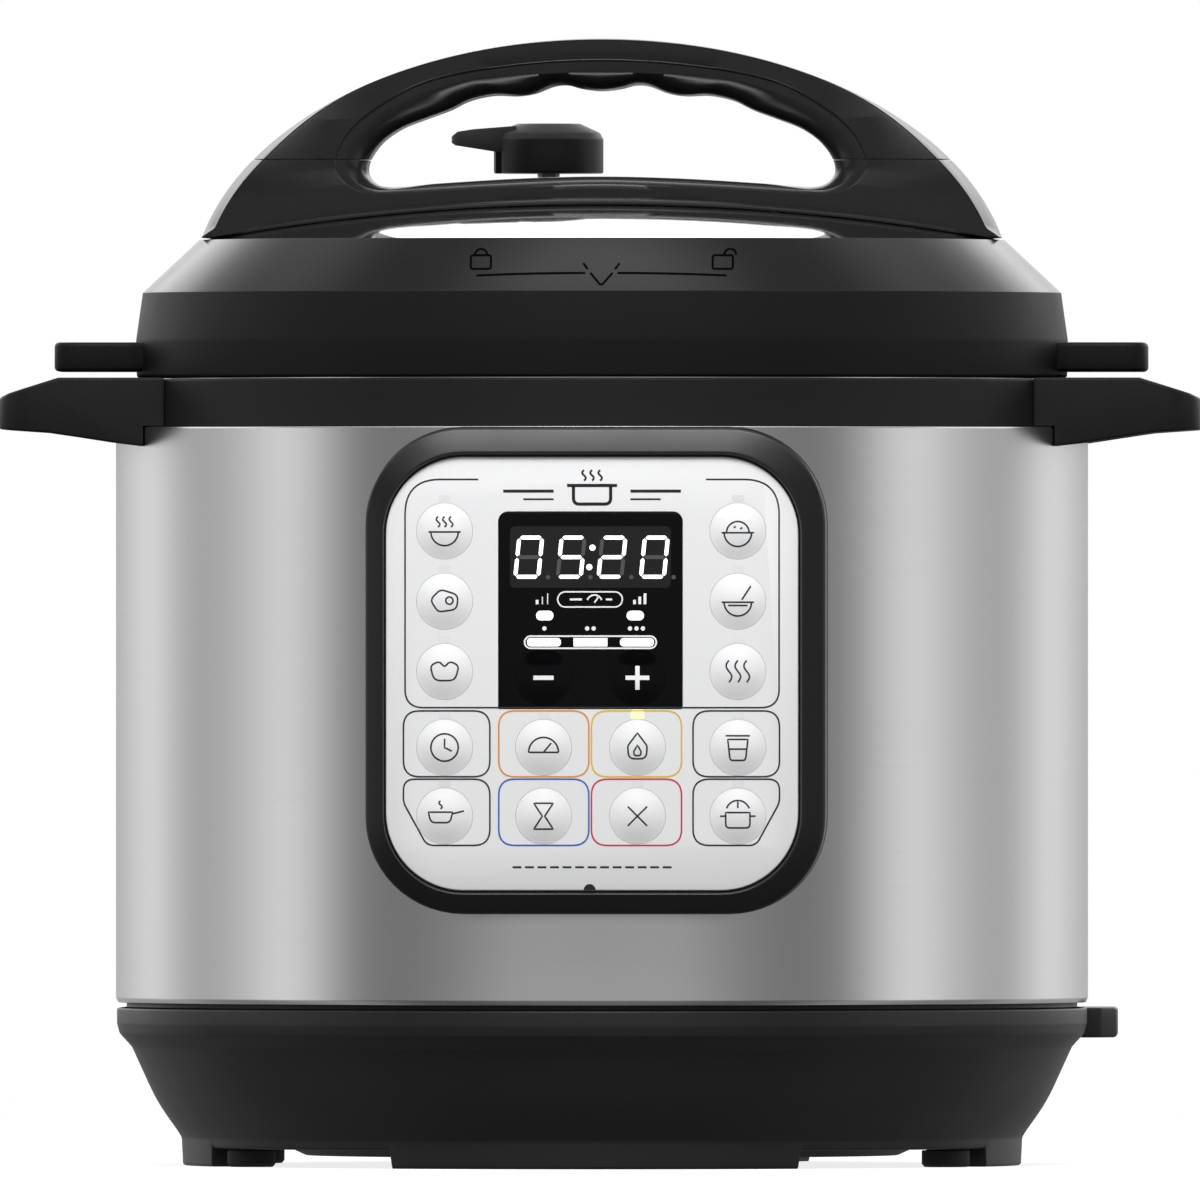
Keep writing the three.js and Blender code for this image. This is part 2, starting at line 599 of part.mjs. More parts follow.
function handleWindow() {
  const right = [
    [0, 268.9], [28, 267], [41, 261.6], [51, 256], [57.6, 251.2], [56.8, 247.4], [48, 246.2], [24, 247.9],
  ];
  const left = right.slice(1).reverse().map(([x, z]) => [-x, z]);
  const knots = [...right, [0, 248.6], ...left].map(([x, z]) => new THREE.Vector3(x, z, 0));
  const curve = new THREE.CatmullRomCurve3(knots, true, "centripetal");
  return curve.getPoints(32).slice(0, -1).map(({ x, y }) => [x, y]);
}

function handleBlank() {
  const shape = handleOutline();
  const window = polygon(handleWindow());
  shape.holes.push(new THREE.Path(window.getPoints().reverse()));
  const edge = 4;
  const blank = pushedBack(shape, -HANDLE_FOOT_HALF, HANDLE_FOOT_HALF, {
    depth: 2 * (HANDLE_FOOT_HALF - edge), bevelEnabled: true, bevelThickness: edge,
    bevelSize: 2, bevelOffset: -2, bevelSegments: 2,
  });
  return blank.translate([0, -edge, 0]);
}

function handleFlange() {
  const plan = new THREE.Shape();
  plan.moveTo(-93, -HANDLE_FOOT_HALF).quadraticCurveTo(-60, -HANDLE_FLANGE_HALF, 0, -HANDLE_FLANGE_HALF);
  plan.quadraticCurveTo(60, -HANDLE_FLANGE_HALF, 93, -HANDLE_FOOT_HALF).lineTo(93, HANDLE_FOOT_HALF);
  plan.quadraticCurveTo(60, HANDLE_FLANGE_HALF, 0, HANDLE_FLANGE_HALF);
  plan.quadraticCurveTo(-60, HANDLE_FLANGE_HALF, -93, HANDLE_FOOT_HALF);
  const top = domePoints(HANDLE_FLANGE_RISE, 100).reverse();
  return raised(plan, 229, 243, 6).intersect(turned([[0, 228], [100, 228], ...top]));
}

function addHandle() {
  const half = [
    [HANDLE_FOOT_HALF, 220], [HANDLE_FOOT_HALF, 242], [HANDLE_TOP_HALF, 272],
    [HANDLE_TOP_HALF - 2, 279], [HANDLE_TOP_HALF - 8, 283],
  ];
  const draft = polygon([...half, ...half.map(([y, z]) => [-y, z]).reverse()]);
  const seat = turned([
    [0, 210], [118, 210], [118, 231.8], [100.1, 231.8], ...domePoints(0.35, 100.1).reverse(),
  ]);
  const screwHoles = SIDES.map(([, sign]) => cylinder(2.4, 220, 246.3, { x: sign * SCREW_X }));
  const whole = handleBlank().intersect(runAcross(draft, -110, 110));
  const body = cut(joined(whole, handleFlange()), seat, ...screwHoles);
  const lower = body.trimByPlane([0, 0, -1], -(HANDLE_SPLIT_Z - GAP / 2));
  const upper = body.trimByPlane([0, 0, 1], HANDLE_SPLIT_Z + GAP / 2);
  addPiece("handle_base", lower, blackPlastic);
  addPiece("handle_grip", upper, blackPlastic);
  for (const [side, sign] of SIDES) {
    const place = { x: sign * SCREW_X, steps: 12 };
    const profile = [[0, 230.2], [4.6, 230.2], [4.6, 233.1], [2.1, 233.1], [2.1, 246], [0, 246]];
    addPiece(`handle_screw_${side}`, turned(profile, place), brushedSteel);
  }
}

// ---- valves on the lid ----
function addValves() {
  const steam = { x: -VALVE_X, y: VALVE_Y, steps: SMALL_STEPS };
  addPiece("steam_pipe", turned([
    [1.5, 226], [3.8, 226], [3.8, 239.7], [7, 239.7], [7, 241.2], [4.5, 241.2], [4.5, 251],
    [3, 253.5], [1.5, 253.5],
  ], steam), brushedSteel);

  const hexagon = new THREE.Shape();
  for (let i = 0; i < 6; i += 1) {
    const angle = (Math.PI / 3) * i;
    const corner = [7.6 * Math.cos(angle) - VALVE_X, 7.6 * Math.sin(angle) + VALVE_Y];
    if (i === 0) hexagon.moveTo(...corner);
    else hexagon.lineTo(...corner);
  }
  const nut = cut(raised(hexagon, 233.4, 236.4), cylinder(4.1, 230, 240, steam));
  addPiece("steam_pipe_nut", nut, brushedSteel);

  const cap = turned([
    [0, 218], [11, 218], [11, 229.4], [4.2, 229.4], [4.2, 228.2], [9.8, 228.2], [9.8, 219.2], [0, 219.2],
  ], steam);
  const slots = [0, 60, 120].map((angle) => (
    box(-14, 14, -1.5, 1.5, 221, 226).rotate([0, 0, angle]).translate([-VALVE_X, VALVE_Y, 0])
  ));
  addPiece("anti_block_shield", cut(cap, ...slots), polishedSteel);

  const knob = turned([
    [0, 254.4], [5.4, 254.4], [5.4, 249], [7.8, 248.2], [13.75, 248.2], [13.75, 256.6],
    [13.2, 258.2], [8, 260.75], [0, 260.75],
  ], { ...steam, steps: 24 });
  const lever = new THREE.Shape();
  lever.moveTo(-VALVE_X - 9, VALVE_Y - 7).lineTo(-35, VALVE_Y - 5);
  lever.quadraticCurveTo(-38.5, VALVE_Y - 4.5, -38.5, VALVE_Y);
  lever.quadraticCurveTo(-38.5, VALVE_Y + 4.5, -35, VALVE_Y + 5).lineTo(-VALVE_X - 9, VALVE_Y + 7);
  addPiece("steam_release_handle", joined(knob, raised(lever, 254.4, 258.4, 3)), blackPlastic);

  const float = { x: VALVE_X, y: VALVE_Y, steps: SMALL_STEPS };
  addPiece("float_valve_pin", turned([
    [0, 221], [3.4, 221], [3.4, 222.4], [2.3, 222.8], [2.3, 239.6], [4.2, 239.6], [4.2, 240.8],
    [3.6, 241.3], [0, 241.3],
  ], float), brushedSteel);
  addPiece("float_valve_cap", turned([
    [2.6, 223.1], [6, 223.1], [6, 226.4], [2.6, 226.4],
  ], float), silicone);
}

addBase();
addPowerInlet();
addShell();
addCarryHandles();
addLiner();
addHeater();
addPanelFrame();
addControls();
addCondensationCup();
addInnerPot();
addSealingRing();
addLid();
addHandle();
addValves();

export default model;
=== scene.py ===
"""Looks of the electric pressure cooker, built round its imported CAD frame.

Shapes are written in millimetres, in the frame's own axes: +Z up, the panel facing -Y.
MM turns them into metres where a mesh is made.
"""
from math import asin, atan2, ceil, copysign, cos, degrees, hypot, pi, radians, sin, sqrt, tan, tau

import bmesh
import bpy
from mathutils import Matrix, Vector


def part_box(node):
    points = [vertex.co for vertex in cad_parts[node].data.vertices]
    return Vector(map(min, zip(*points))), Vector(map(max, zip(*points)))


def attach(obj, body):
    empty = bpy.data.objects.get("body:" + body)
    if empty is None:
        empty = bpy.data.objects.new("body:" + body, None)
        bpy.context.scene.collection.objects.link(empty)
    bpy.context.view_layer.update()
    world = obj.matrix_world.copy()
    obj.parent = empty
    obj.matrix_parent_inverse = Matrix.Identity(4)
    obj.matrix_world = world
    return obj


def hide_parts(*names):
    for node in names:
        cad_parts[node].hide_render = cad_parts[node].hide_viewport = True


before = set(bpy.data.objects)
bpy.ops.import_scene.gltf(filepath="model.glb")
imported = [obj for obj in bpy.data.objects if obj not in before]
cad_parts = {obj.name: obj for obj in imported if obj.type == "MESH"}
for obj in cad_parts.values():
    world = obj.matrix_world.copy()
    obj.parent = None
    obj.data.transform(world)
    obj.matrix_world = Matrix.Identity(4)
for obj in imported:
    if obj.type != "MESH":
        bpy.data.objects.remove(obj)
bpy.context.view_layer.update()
MM = 0.001


def span(node):
    """Lowest and highest corner of a CAD node, in millimetres."""
    low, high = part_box(node)
    return low / MM, high / MM


def linked(name, data):
    """A new object in the scene, holding the data."""
    item = bpy.data.objects.new(name, data)
    bpy.context.scene.collection.objects.link(item)
    return item


# ---- camera
VIEW_WIDTH = 300.0
VIEW_TURN = radians(1.07)
VIEW_CENTRE = Vector((-0.5, 0.0, 141.25))
LENS, SENSOR = 1600.0, 36.0
NEAREST, FARTHEST = 0.5, 60.0  # clipping distances, in metres


def add_camera():
    data = bpy.data.cameras.new("camera")
    data.lens, data.sensor_width = LENS, SENSOR
    data.clip_start, data.clip_end = NEAREST, FARTHEST
    camera = linked("camera", data)
    distance = VIEW_WIDTH * LENS / SENSOR
    away = Vector((sin(VIEW_TURN), -cos(VIEW_TURN), 0)) * distance
    camera.location = (VIEW_CENTRE + away) * MM
    camera.rotation_euler = (pi / 2, 0, VIEW_TURN)
    bpy.context.scene.camera = camera


# ---- materials
def add_node(tree, kind, settings=(), **sockets):
    """A new shader node, with its sockets set to values or fed by other nodes."""
    node = tree.nodes.new("ShaderNode" + kind)
    for name, value in settings:
        setattr(node, name, value)
    for name, value in sockets.items():
        socket = node.inputs[name.replace("_", " ")]
        if isinstance(value, bpy.types.NodeSocket):
            tree.links.new(value, socket)
        else:
            socket.default_value = value
    return node


def make_material(name, colour, roughness, rough, tint=None, bump=None, metallic=0.0, brush=None, **sockets):
    """A Principled material in which noise varies the roughness, the colour and the surface.

    rough and tint are (noise scale, detail, amount) and bump is (noise scale, detail, metres, strength).
    brush stretches one noise into fine lines for both the roughness and the bump.
    """
    material = bpy.data.materials.new(name)
    material.use_nodes = True
    tree = material.node_tree
    shader = tree.nodes["Principled BSDF"]
    sockets |= {"Base_Color": (*colour, 1), "Roughness": roughness, "Metallic": metallic}
    for socket, value in sockets.items():
        shader.inputs[socket.replace("_", " ")].default_value = value
    position = add_node(tree, "TexCoord").outputs["Object"]

    def noise(scale, detail, vector=position):
        return add_node(tree, "TexNoise", Vector=vector, Scale=scale, Detail=detail).outputs["Fac"]

    if brush:
        tangent = add_node(tree, "Tangent", (("direction_type", "RADIAL"), ("axis", "Z")))
        tree.links.new(tangent.outputs["Tangent"], shader.inputs["Tangent"])
        lines = noise(1.0, 3, add_node(tree, "Mapping", Vector=position, Scale=brush).outputs["Vector"])
    if rough:
        factor, amount = lines if brush else noise(*rough[:2]), rough[2]
        spread = add_node(
            tree, "MapRange", Value=factor, To_Min=roughness - amount, To_Max=roughness + amount)
        tree.links.new(spread.outputs["Result"], shader.inputs["Roughness"])
    if tint:
        factor, amount = noise(*tint[:2]), tint[2]
        dark = (*(c * (1 - amount) for c in colour), 1)
        light = (*(min(1, c * (1 + amount)) for c in colour), 1)
        mix = add_node(tree, "Mix", (("data_type", "RGBA"),), Factor=factor, A=dark, B=light)
        tree.links.new(mix.outputs["Result"], shader.inputs["Base Color"])
    if bump:
        height = lines if brush else noise(*bump[:2])
        relief = add_node(tree, "Bump", Height=height, Distance=bump[2], Strength=bump[3])
        tree.links.new(relief.outputs["Normal"], shader.inputs["Normal"])
    return material


# plastics and inks by finish: material name, colour, roughness, grain and specular level
PLASTICS = {
    "case": ("case_plastic", (0.0105, 0.0105, 0.0107), 0.45, 0.6, 0.14),
    "lid": ("lid_plastic", (0.0075, 0.0075, 0.0077), 0.45, 0.6, 0.12),
    # the knob's colour is painted lighter than the case plastic, standing in for the light that the handle
    # shades off it
    "knob": ("knob_plastic", (0.03, 0.03, 0.0305), 0.45, 0.4, 0.4),
    "handle": ("handle_plastic", (0.0085, 0.0085, 0.0087), 0.26, 0.25, 0.4),
    "ring": ("ring_plastic", (0.0085, 0.0085, 0.0087), 0.22, 0.3, 0.4),
    # the base's colour is painted lighter than the case plastic, standing in for the floor's bounce light
    # that it does not get
    "base": ("base_plastic", (0.0185, 0.0175, 0.0182), 0.42, 0.6, 0.4),
    "surround": ("surround_plastic", (0.0095, 0.0095, 0.0102), 0.3, 0.3, 0.5),
    "rubber": ("foot_rubber", (0.016, 0.016, 0.016), 0.8, 1.0, 0.5),
    "module": ("display_module", (0.014, 0.014, 0.015), 0.3, 0.1, 0.2),
    "window": ("clear_window", (0.68, 0.68, 0.69), 0.3, 0.1, 0.5),
    # painted shade: the lid's engraved marks are raised near-black strokes without gloss, standing in for the
    # shade inside the grooves
    "engraved": ("engraved_line", (0.0015, 0.0015, 0.0015), 0.8, 0.2, 0.0),
    "white": ("white_ink", (0.8, 0.8, 0.8), 0.5, 0.2, 0.5),
    "mark": ("black_ink", (0.012, 0.012, 0.014), 0.5, 0.2, 0.5),
    "orange": ("orange_ink", (0.62, 0.26, 0.05), 0.5, 0.2, 0.5),
    "blue": ("blue_ink", (0.03, 0.11, 0.42), 0.5, 0.2, 0.5),
    "yellow": ("yellow_ink", (0.62, 0.43, 0.05), 0.5, 0.2, 0.5),
    "red": ("red_ink", (0.5, 0.03, 0.06), 0.5, 0.2, 0.5),
}
# material name, colour, roughness, then how the brushing is stretched and how deep it is, in metres
BRUSHED = {
    "drum": ("drum_steel", (0.9, 0.895, 0.905), 0.25, (5, 5, 2200), 0.0000004),
    "pot": ("pot_steel", (0.6, 0.6, 0.61), 0.3, (9, 9, 1500), 0.00002),
    "aluminium": ("plate_aluminium", (0.5, 0.51, 0.52), 0.4, (300, 300, 20), 0.00003),
}
POLISHED = {
    "dome": ("dome_steel", (0.72, 0.72, 0.73), 0.05),
    "hardware": ("hardware_steel", (0.5, 0.5, 0.51), 0.28),
}
# material name, colour and strength of the lights in the display
GLOWS = {
    "digit": ("digit_light", (1.0, 0.97, 0.98), 1.1),
    "unlit": ("unlit_segment", (0.06, 0.055, 0.055), 0.25),
    "lamp": ("pill_light", (0.85, 0.88, 0.88), 0.55),
    "amber": ("amber_light", (1.0, 0.88, 0.3), 0.9),
}


def make_finishes():
    made = {}
    for finish, (*look, grain, specular) in PLASTICS.items():
        noises = (60, 4, 0.05), (25, 2, 0.12), (2600, 2, 0.00003, grain)
        made[finish] = make_material(*look, *noises, Specular_IOR_Level=specular)
    for finish, (*look, brush, depth) in BRUSHED.items():
        noises = (1, 3, 0.025), (8, 2, 0.03), (1, 3, depth, 0.5)
        sheen = {"Anisotropic": 0.3, "Anisotropic_Rotation": 0.25}
        made[finish] = make_material(*look, *noises, 1.0, brush, **sheen)
    for finish, (name, colour, roughness) in POLISHED.items():
        noises = (35, 4, roughness * 0.3), None, (9, 1, 0.00002, 0.3)
        made[finish] = make_material(name, colour, roughness, *noises, 1.0)
    for finish, (name, colour, strength) in GLOWS.items():
        light = {"Emission_Color": (*colour, 1), "Emission_Strength": strength}
        made[finish] = make_material(name, colour, 0.4, (400, 2, 0.05), **light)
    made["silver"] = make_material(
        "fascia_silver", (0.76, 0.762, 0.77), 0.42, (90, 3, 0.03), (900, 2, 0.015),
        (5000, 1, 0.000004, 0.5), 0.1)
    made["ink"] = make_material("panel_ink", (0.02, 0.021, 0.024), 0.55, (700, 2, 0.05))
    made["display"] = make_material(
        "display_gloss", (0.002, 0.002, 0.0025), 0.12, (50, 3, 0.03), Specular_IOR_Level=0.15)
    made["cup"] = make_material(
        "cup_plastic", (0.55, 0.6, 0.63), 0.12, (60, 3, 0.05), None, (30, 2, 0.0001, 0.2),
        Transmission_Weight=0.85, IOR=1.5)
    made["silicone"] = make_material(
        "silicone", (0.6, 0.63, 0.62), 0.5, (200, 3, 0.06), None, (1200, 2, 0.00004, 0.4),
        Subsurface_Weight=0.15)
    made["board"] = make_material(
        "circuit_board", (0.02, 0.16, 0.07), 0.35, None, (350, 3, 0.5), (900, 2, 0.00008, 0.6))
    return made


# ---- mesh helpers
WELD = 1e-7  # metres between points that count as one
TINY = 1e-9
SHORTEST = 1e-6  # millimetres, for a segment that is still drawn
SHARPEST = 0.01  # smallest radius of a rounded rectangle
ROUNDING_SHARE = 0.48  # of a side, the most that one rounding takes
EDGE_STEPS = 3
MITRE_LIMIT = 0.2
NEARLY_ALONG = 0.997  # cosine between a face and the normal it may take instead of its own


def finished(name, mesh, finish, body, slot, *nodes, sharp=35):
    """Puts a mesh in the scene as a piece that rides on a body and stands for CAD nodes."""
    mesh.name = name
    piece = linked(name, mesh)
    mesh.shade_smooth()
    mesh.set_sharp_from_angle(angle=radians(sharp))
    if finish:
        mesh.materials.clear()
        mesh.materials.append(FINISH[finish])
    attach(piece, body)
    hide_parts(*nodes)
    return piece


def opened(*meshes):
    build = bmesh.new()
    for mesh in meshes:
        build.from_mesh(mesh)
    return build


def closed_up(build):
    """The mesh that was being built."""
    mesh = bpy.data.meshes.new("mesh")
    build.to_mesh(mesh)
    build.free()
    return mesh


def mesh_of(points, faces):
    """A mesh in metres from points in millimetres, with its faces pointing out."""
    build = bmesh.new()
    corners = [build.verts.new(Vector(p) * MM) for p in points]
    for face in faces:
        if len(set(face)) > 2:
            build.faces.new([corners[i] for i in dict.fromkeys(face)])
    bmesh.ops.remove_doubles(build, verts=build.verts, dist=WELD)
    loose = [edge for edge in build.edges if not edge.link_faces]
    bmesh.ops.delete(build, geom=loose, context="EDGES")
    bmesh.ops.recalc_face_normals(build, faces=build.faces)
    return closed_up(build)


def skin(loops, closed=True):
    """A skin over rows of points. Each row closes on itself; the rows do too, or else end in flat caps."""
    width = len(loops[0])
    points = [p for loop in loops for p in loop]
    total = len(points)
    faces = [] if closed else [tuple(range(width)), tuple(range(total - width, total))]
    for near in range(0, total if closed else total - width, width):
        far = (near + width) % total
        for j in range(width):
            k = (j + 1) % width
            faces.append((near + j, near + k, far + k, far + j))
    return mesh_of(points, faces)


def softened(corners, closed=True, steps=4):
    """A path through corners (u, v) or (u, v, radius), with the radii rounded off."""
    path = []
    count = len(corners)
    for i, corner in enumerate(corners):
        here = Vector(corner[:2])
        radius = corner[2] if len(corner) > 2 else 0
        if not radius or (not closed and i in (0, count - 1)):
            path.append(tuple(here))
            continue
        back = Vector(corners[i - 1][:2]) - here
        ahead = Vector(corners[(i + 1) % count][:2]) - here
        half = back.angle(ahead) / 2
        reach = min(radius / tan(half), ROUNDING_SHARE * min(back.length, ahead.length))
        start, end = here + back.normalized() * reach, here + ahead.normalized() * reach
        for k in range(steps + 1):
            t = k / steps
            path.append(tuple(start * (1 - t) ** 2 + here * 2 * t * (1 - t) + end * t * t))
    return path


def lathe_mesh(corners, steps=192, centre=(0, 0), angles=None):
    """Corners (radius, height, rounding), or a function from angle to corners, turned about Z."""
    loops = []
    for angle in angles or [tau * i / steps for i in range(steps)]:
        path = softened(corners(angle) if callable(corners) else corners)
        sine, cosine = sin(angle), cos(angle)
        loops.append([(centre[0] + r * cosine, centre[1] + r * sine, z) for r, z in path])
    return skin(loops)


def lathe(name, corners, finish, body, slot, node, steps=192, centre=(0, 0), sharp=35):
    return finished(name, lathe_mesh(corners, steps, centre), finish, body, slot, node, sharp=sharp)


def arc(centre, radius, start, end, steps):
    """Points on a circle between two angles in degrees."""
    turns = [radians(start + (end - start) * i / steps) for i in range(steps + 1)]
    return [(centre[0] + radius * cos(a), centre[1] + radius * sin(a)) for a in turns]


def circle(radius, x=0, y=0, steps=24):
    return arc((x, y), radius, 0, 360 - 360 / steps, steps - 1)


def rounded_rectangle(width, height, radius, centre=(0, 0), steps=14):
    """A rounded rectangle's outline; radius is one number or (bottom right, then anticlockwise)."""
    radii = radius if isinstance(radius, tuple) else (radius,) * 4
    outline = []
    for i, (side, level) in enumerate(((1, -1), (1, 1), (-1, 1), (-1, -1))):
        r = max(radii[i], SHARPEST)
        corner = (centre[0] + side * (width / 2 - r), centre[1] + level * (height / 2 - r))
        outline += arc(corner, r, 90 * i - 90, 90 * i, steps)
    return outline


def slab(outline, low, high, plane="XY", edge=0.0):
    """An outline pushed from low to high along the third axis, with rounded edges."""
    rows = [(0, low), (0, high)]
    if edge:
        turns = [pi / 2 * (k / EDGE_STEPS) for k in range(EDGE_STEPS + 1)]
        ease = [(edge * (1 - sin(turn)), edge * (1 - cos(turn))) for turn in turns]
        rows = [(inset, low + rise) for inset, rise in ease]
        rows += [(inset, high - rise) for inset, rise in ease[::-1]]
    loops = []
    for inset, level in rows:
        flat = inset_outline(outline, inset) if inset > TINY else outline
        loops.append([place(u, v, level, plane) for u, v in flat])
    return skin(loops, False)


def place(u, v, level, plane):
    return {"XY": (u, v, level), "XZ": (u, level, v), "YZ": (level, u, v)}[plane]


def inset_outline(outline, distance):
    """The outline moved inwards by a distance, whichever way it runs."""
    points = [Vector(p) for p in outline]
    area = sum(points[i - 1].cross(point) for i, point in enumerate(points))
    moved = []
    for i, here in enumerate(points):
        sides = (here - points[i - 1], points[(i + 1) % len(points)] - here)
        normals = [Vector((-side.y, side.x)).normalized() for side in sides if side.length >= TINY]
        aim = sum(normals, Vector((0, 0)))
        if len(normals) == 2:
            aim = aim / max(aim.length_squared, MITRE_LIMIT) * 2
        moved.append(tuple(here + aim * (1 if area > 0 else -1) * distance))
    return moved


def joined_mesh(*meshes):
    return closed_up(opened(*meshes))


def combined(first, others, operation="DIFFERENCE"):
    """first with the other meshes cut from it, joined to it or kept in common with it."""
    items = [linked("target", first)]
    for mesh in others:
        items.append(linked("tool", mesh))
        step = items[0].modifiers.new("step", "BOOLEAN")
        step.operation, step.solver, step.object = operation, "EXACT", items[-1]
    result = evaluated(items[0])
    for item in items:
        bpy.data.objects.remove(item)
    return result


def evaluated(piece):
    graph = bpy.context.evaluated_depsgraph_get()
    graph.update()
    return bpy.data.meshes.new_from_object(piece.evaluated_get(graph))


def bevelled(mesh, width, angle=30):
    """The mesh with its sharp edges rounded off."""
    piece = linked("piece", mesh)
    step = piece.modifiers.new("edges", "BEVEL")
    step.width, step.segments = width * MM, EDGE_STEPS
    step.limit_method, step.angle_limit = "ANGLE", radians(angle)
    result = evaluated(piece)
    bpy.data.objects.remove(piece)
    return result


def box_mesh(x0, x1, y0, y1, z0, z1, edge=0.0):
    mesh = slab([(x0, y0), (x1, y0), (x1, y1), (x0, y1)], z0, z1)
    return bevelled(mesh, edge) if edge else mesh


def cylinder_mesh(radius, low, high, centre=(0, 0), steps=48):
    return slab(circle(radius, *centre, steps), low, high)


def mirrored_mesh(mesh):
    """The mesh on the other side of the X = 0 plane."""
    build = opened(mesh)
    for corner in build.verts:
        corner.co.x = -corner.co.x
    bmesh.ops.reverse_faces(build, faces=build.faces)
    return closed_up(build)


def painted(*layers):
    """One mesh from (mesh, finish) pairs, each keeping its own finish."""
    total = joined_mesh(*(mesh for mesh, _ in layers))
    start = 0
    for index, (mesh, finish) in enumerate(layers):
        total.materials.append(FINISH[finish])
        count = len(mesh.polygons)
        for polygon in total.polygons[start:start + count]:
            polygon.material_index = index
        start += count
    return total


def aim_normals(piece, rule):
    """Corner normals follow rule(point) wherever the face already points nearly that way."""
    mesh = piece.data
    normals = [tuple(n.vector) for n in mesh.corner_normals]
    for polygon in mesh.polygons:
        for corner in polygon.loop_indices:
            aim = rule(mesh.vertices[mesh.loops[corner].vertex_index].co)
            if polygon.normal.dot(aim) > NEARLY_ALONG:
                normals[corner] = tuple(aim)
    mesh.normals_split_custom_set(normals)


def around_axis(point):
    return Vector((point.x, point.y, 0)).normalized()


def turned(points, angle):
    """Points (u, v) turned about the origin."""
    sine, cosine = sin(angle), cos(angle)
    return [(u * cosine - v * sine, u * sine + v * cosine) for u, v in points]


# ---- base
SKIRTS = ((-90, 58), (90, 58), (0, 46), (180, 46))  # centre and spread, in degrees
BASE_STEP, SKIRT_STEP = 2.0, 0.2  # degrees between two sections, and between a skirt's end and its sections
UNDERSIDE = 4.5
BAND_TOP = 39.3
VENTS = 10
WALL_RADIUS = span("housing_shell")[1].x


def on_skirt(turn):
    return any(abs((turn - centre + 180) % 360 - 180) <= spread / 2 for centre, spread in SKIRTS)


def base_profile(angle):
    foot = 0 if on_skirt(degrees(angle)) else UNDERSIDE
    return [
        (79, UNDERSIDE), (97.3, UNDERSIDE), (97.5, foot, 0.1), (104.75, foot, 0.9), (105.1, 7, 2),
        (106.1, 8.6, 1), (111.3, 16, 60), (117.5, 29.6, 3), (120.6, 33, 2), (121.25, 35.5, 2),
        (121.25, BAND_TOP, 0.5), (118.8, BAND_TOP + 0.3, 0.2), (118.8, 48), (116.2, 48),
        (116.2, 34), (114.6, 29.6, 1), (108.6, 17, 20), (103.2, 9.6, 1), (101, 7.1), (79, 7.1),
    ]


def base_angles():
    turns = {BASE_STEP * i for i in range(int(360 / BASE_STEP))}
    for centre, spread in SKIRTS:
        for edge in (centre - spread / 2, centre + spread / 2):
            turns |= {(edge - SKIRT_STEP) % 360, (edge + SKIRT_STEP) % 360}
    return [radians(turn) for turn in sorted(turns)]


def add_base():
    bowl = lathe_mesh(base_profile, angles=base_angles())
    low, high = span("power_inlet")
    pocket = box_mesh(84, 130, low.y - 0.3, high.y + 0.3, low.z - 0.3, high.z + 0.3)
    plan = softened([(100, 8), (124.5, 8, 2), (128.6, 14, 2), (128.6, 46, 2), (124.5, 52, 2), (100, 52)])
    hood = combined(slab(plan, 31.8, BAND_TOP, edge=0.9), [cylinder_mesh(118.4, 28, 44, steps=128)])
    bowl = combined(combined(bowl, [pocket]), [hood], "UNION")
    # painted light: the base plastic is coloured lighter in place of the floor's bounce light
    finished("base_bowl", bowl, "base", "base", "black_plastic", "base_housing", sharp=28)

    vent = rounded_rectangle(22, 3.2, 1.59, (45, 0), 6)
    vents = [slab(turned(vent, tau * i / VENTS), 0, 12) for i in range(VENTS)]
    cover = lathe_mesh([
        (0, 2.5), (28, 2.5), (28.4, 2.9, 0.2), (29.6, 2.9, 0.2), (30, 2.5), (74, 2.5, 1),
        (78.4, UNDERSIDE), (78.4, 7.6), (84, 7.6), (84, 9.4), (76, 9.4), (74, 4.6, 1), (0, 4.6),
    ])
    cover = combined(cover, [joined_mesh(*vents)])
    finished("underside_cover", cover, "case", "base", "black_plastic", "bottom_cover")

    for node in ("foot_front_left", "foot_front_right", "foot_rear_left", "foot_rear_right"):
        low, high = span(node)
        middle = (low + high) / 2
        lathe("rubber_" + node, [
            (0, high.z), (6, high.z, 0.3), (6, 0.8, 0.3), (5.3, 0, 0.5), (3.1, 0, 0.3), (2.5, 0.8, 0.3),
            (0, 0.8),
        ], "rubber", "base", "foot_rubber", node, 48, (middle.x, middle.y))


def add_inlet():
    low, high = span("power_inlet")
    middle = (low + high) / 2
    width, height = high.y - low.y, high.z - low.z
    body = slab(rounded_rectangle(width, height, 2, (middle.y, middle.z), 5), low.x, high.x, "YZ", 0.6)
    mouth = rounded_rectangle(width - 8, height - 6, (2, 5, 5, 2), (middle.y, middle.z), 6)
    socket = combined(body, [slab(mouth, low.x + 2, high.x + 1, "YZ")])
    finished("inlet_socket", socket, "case", "base", "black_plastic", "power_inlet")
    pins = []
    for across, up in ((-7, -1.5), (0, 2), (7, -1.5)):
        y, z = middle.y + across, middle.z + up
        pins.append(box_mesh(low.x + 1, high.x - 3, y - 1, y + 1, z - 2, z + 2, 0.4))
    finished("inlet_pins", joined_mesh(*pins), "hardware", "base", "hardware_steel", "power_inlet")


# ---- wall, rim and side handles
PANEL_CENTRE_Z = 123.0
PANEL_SIZE = (114.0, 120.5)
OPENING_SIZE = (102.7, 108.0)
FRAME_SHIFT = 0.8  # how far the frame's outer edge sits right of and above the middle of its opening
IN_FRONT, BEHIND = -140, -120  # y of the ends of the tools that cut the panel's holes


def panel_outline(fraction, grow=0.0):
    """Rounded outline between the panel frame's outer edge, at 0, and its opening, at 1."""
    width, height = (a + (b - a) * fraction + 2 * grow for a, b in zip(PANEL_SIZE, OPENING_SIZE))
    shift = FRAME_SHIFT * max(0, 1 - fraction)
    radius = 24 - 4.5 * fraction + grow
    return rounded_rectangle(width, height, radius, (shift, PANEL_CENTRE_Z + shift))


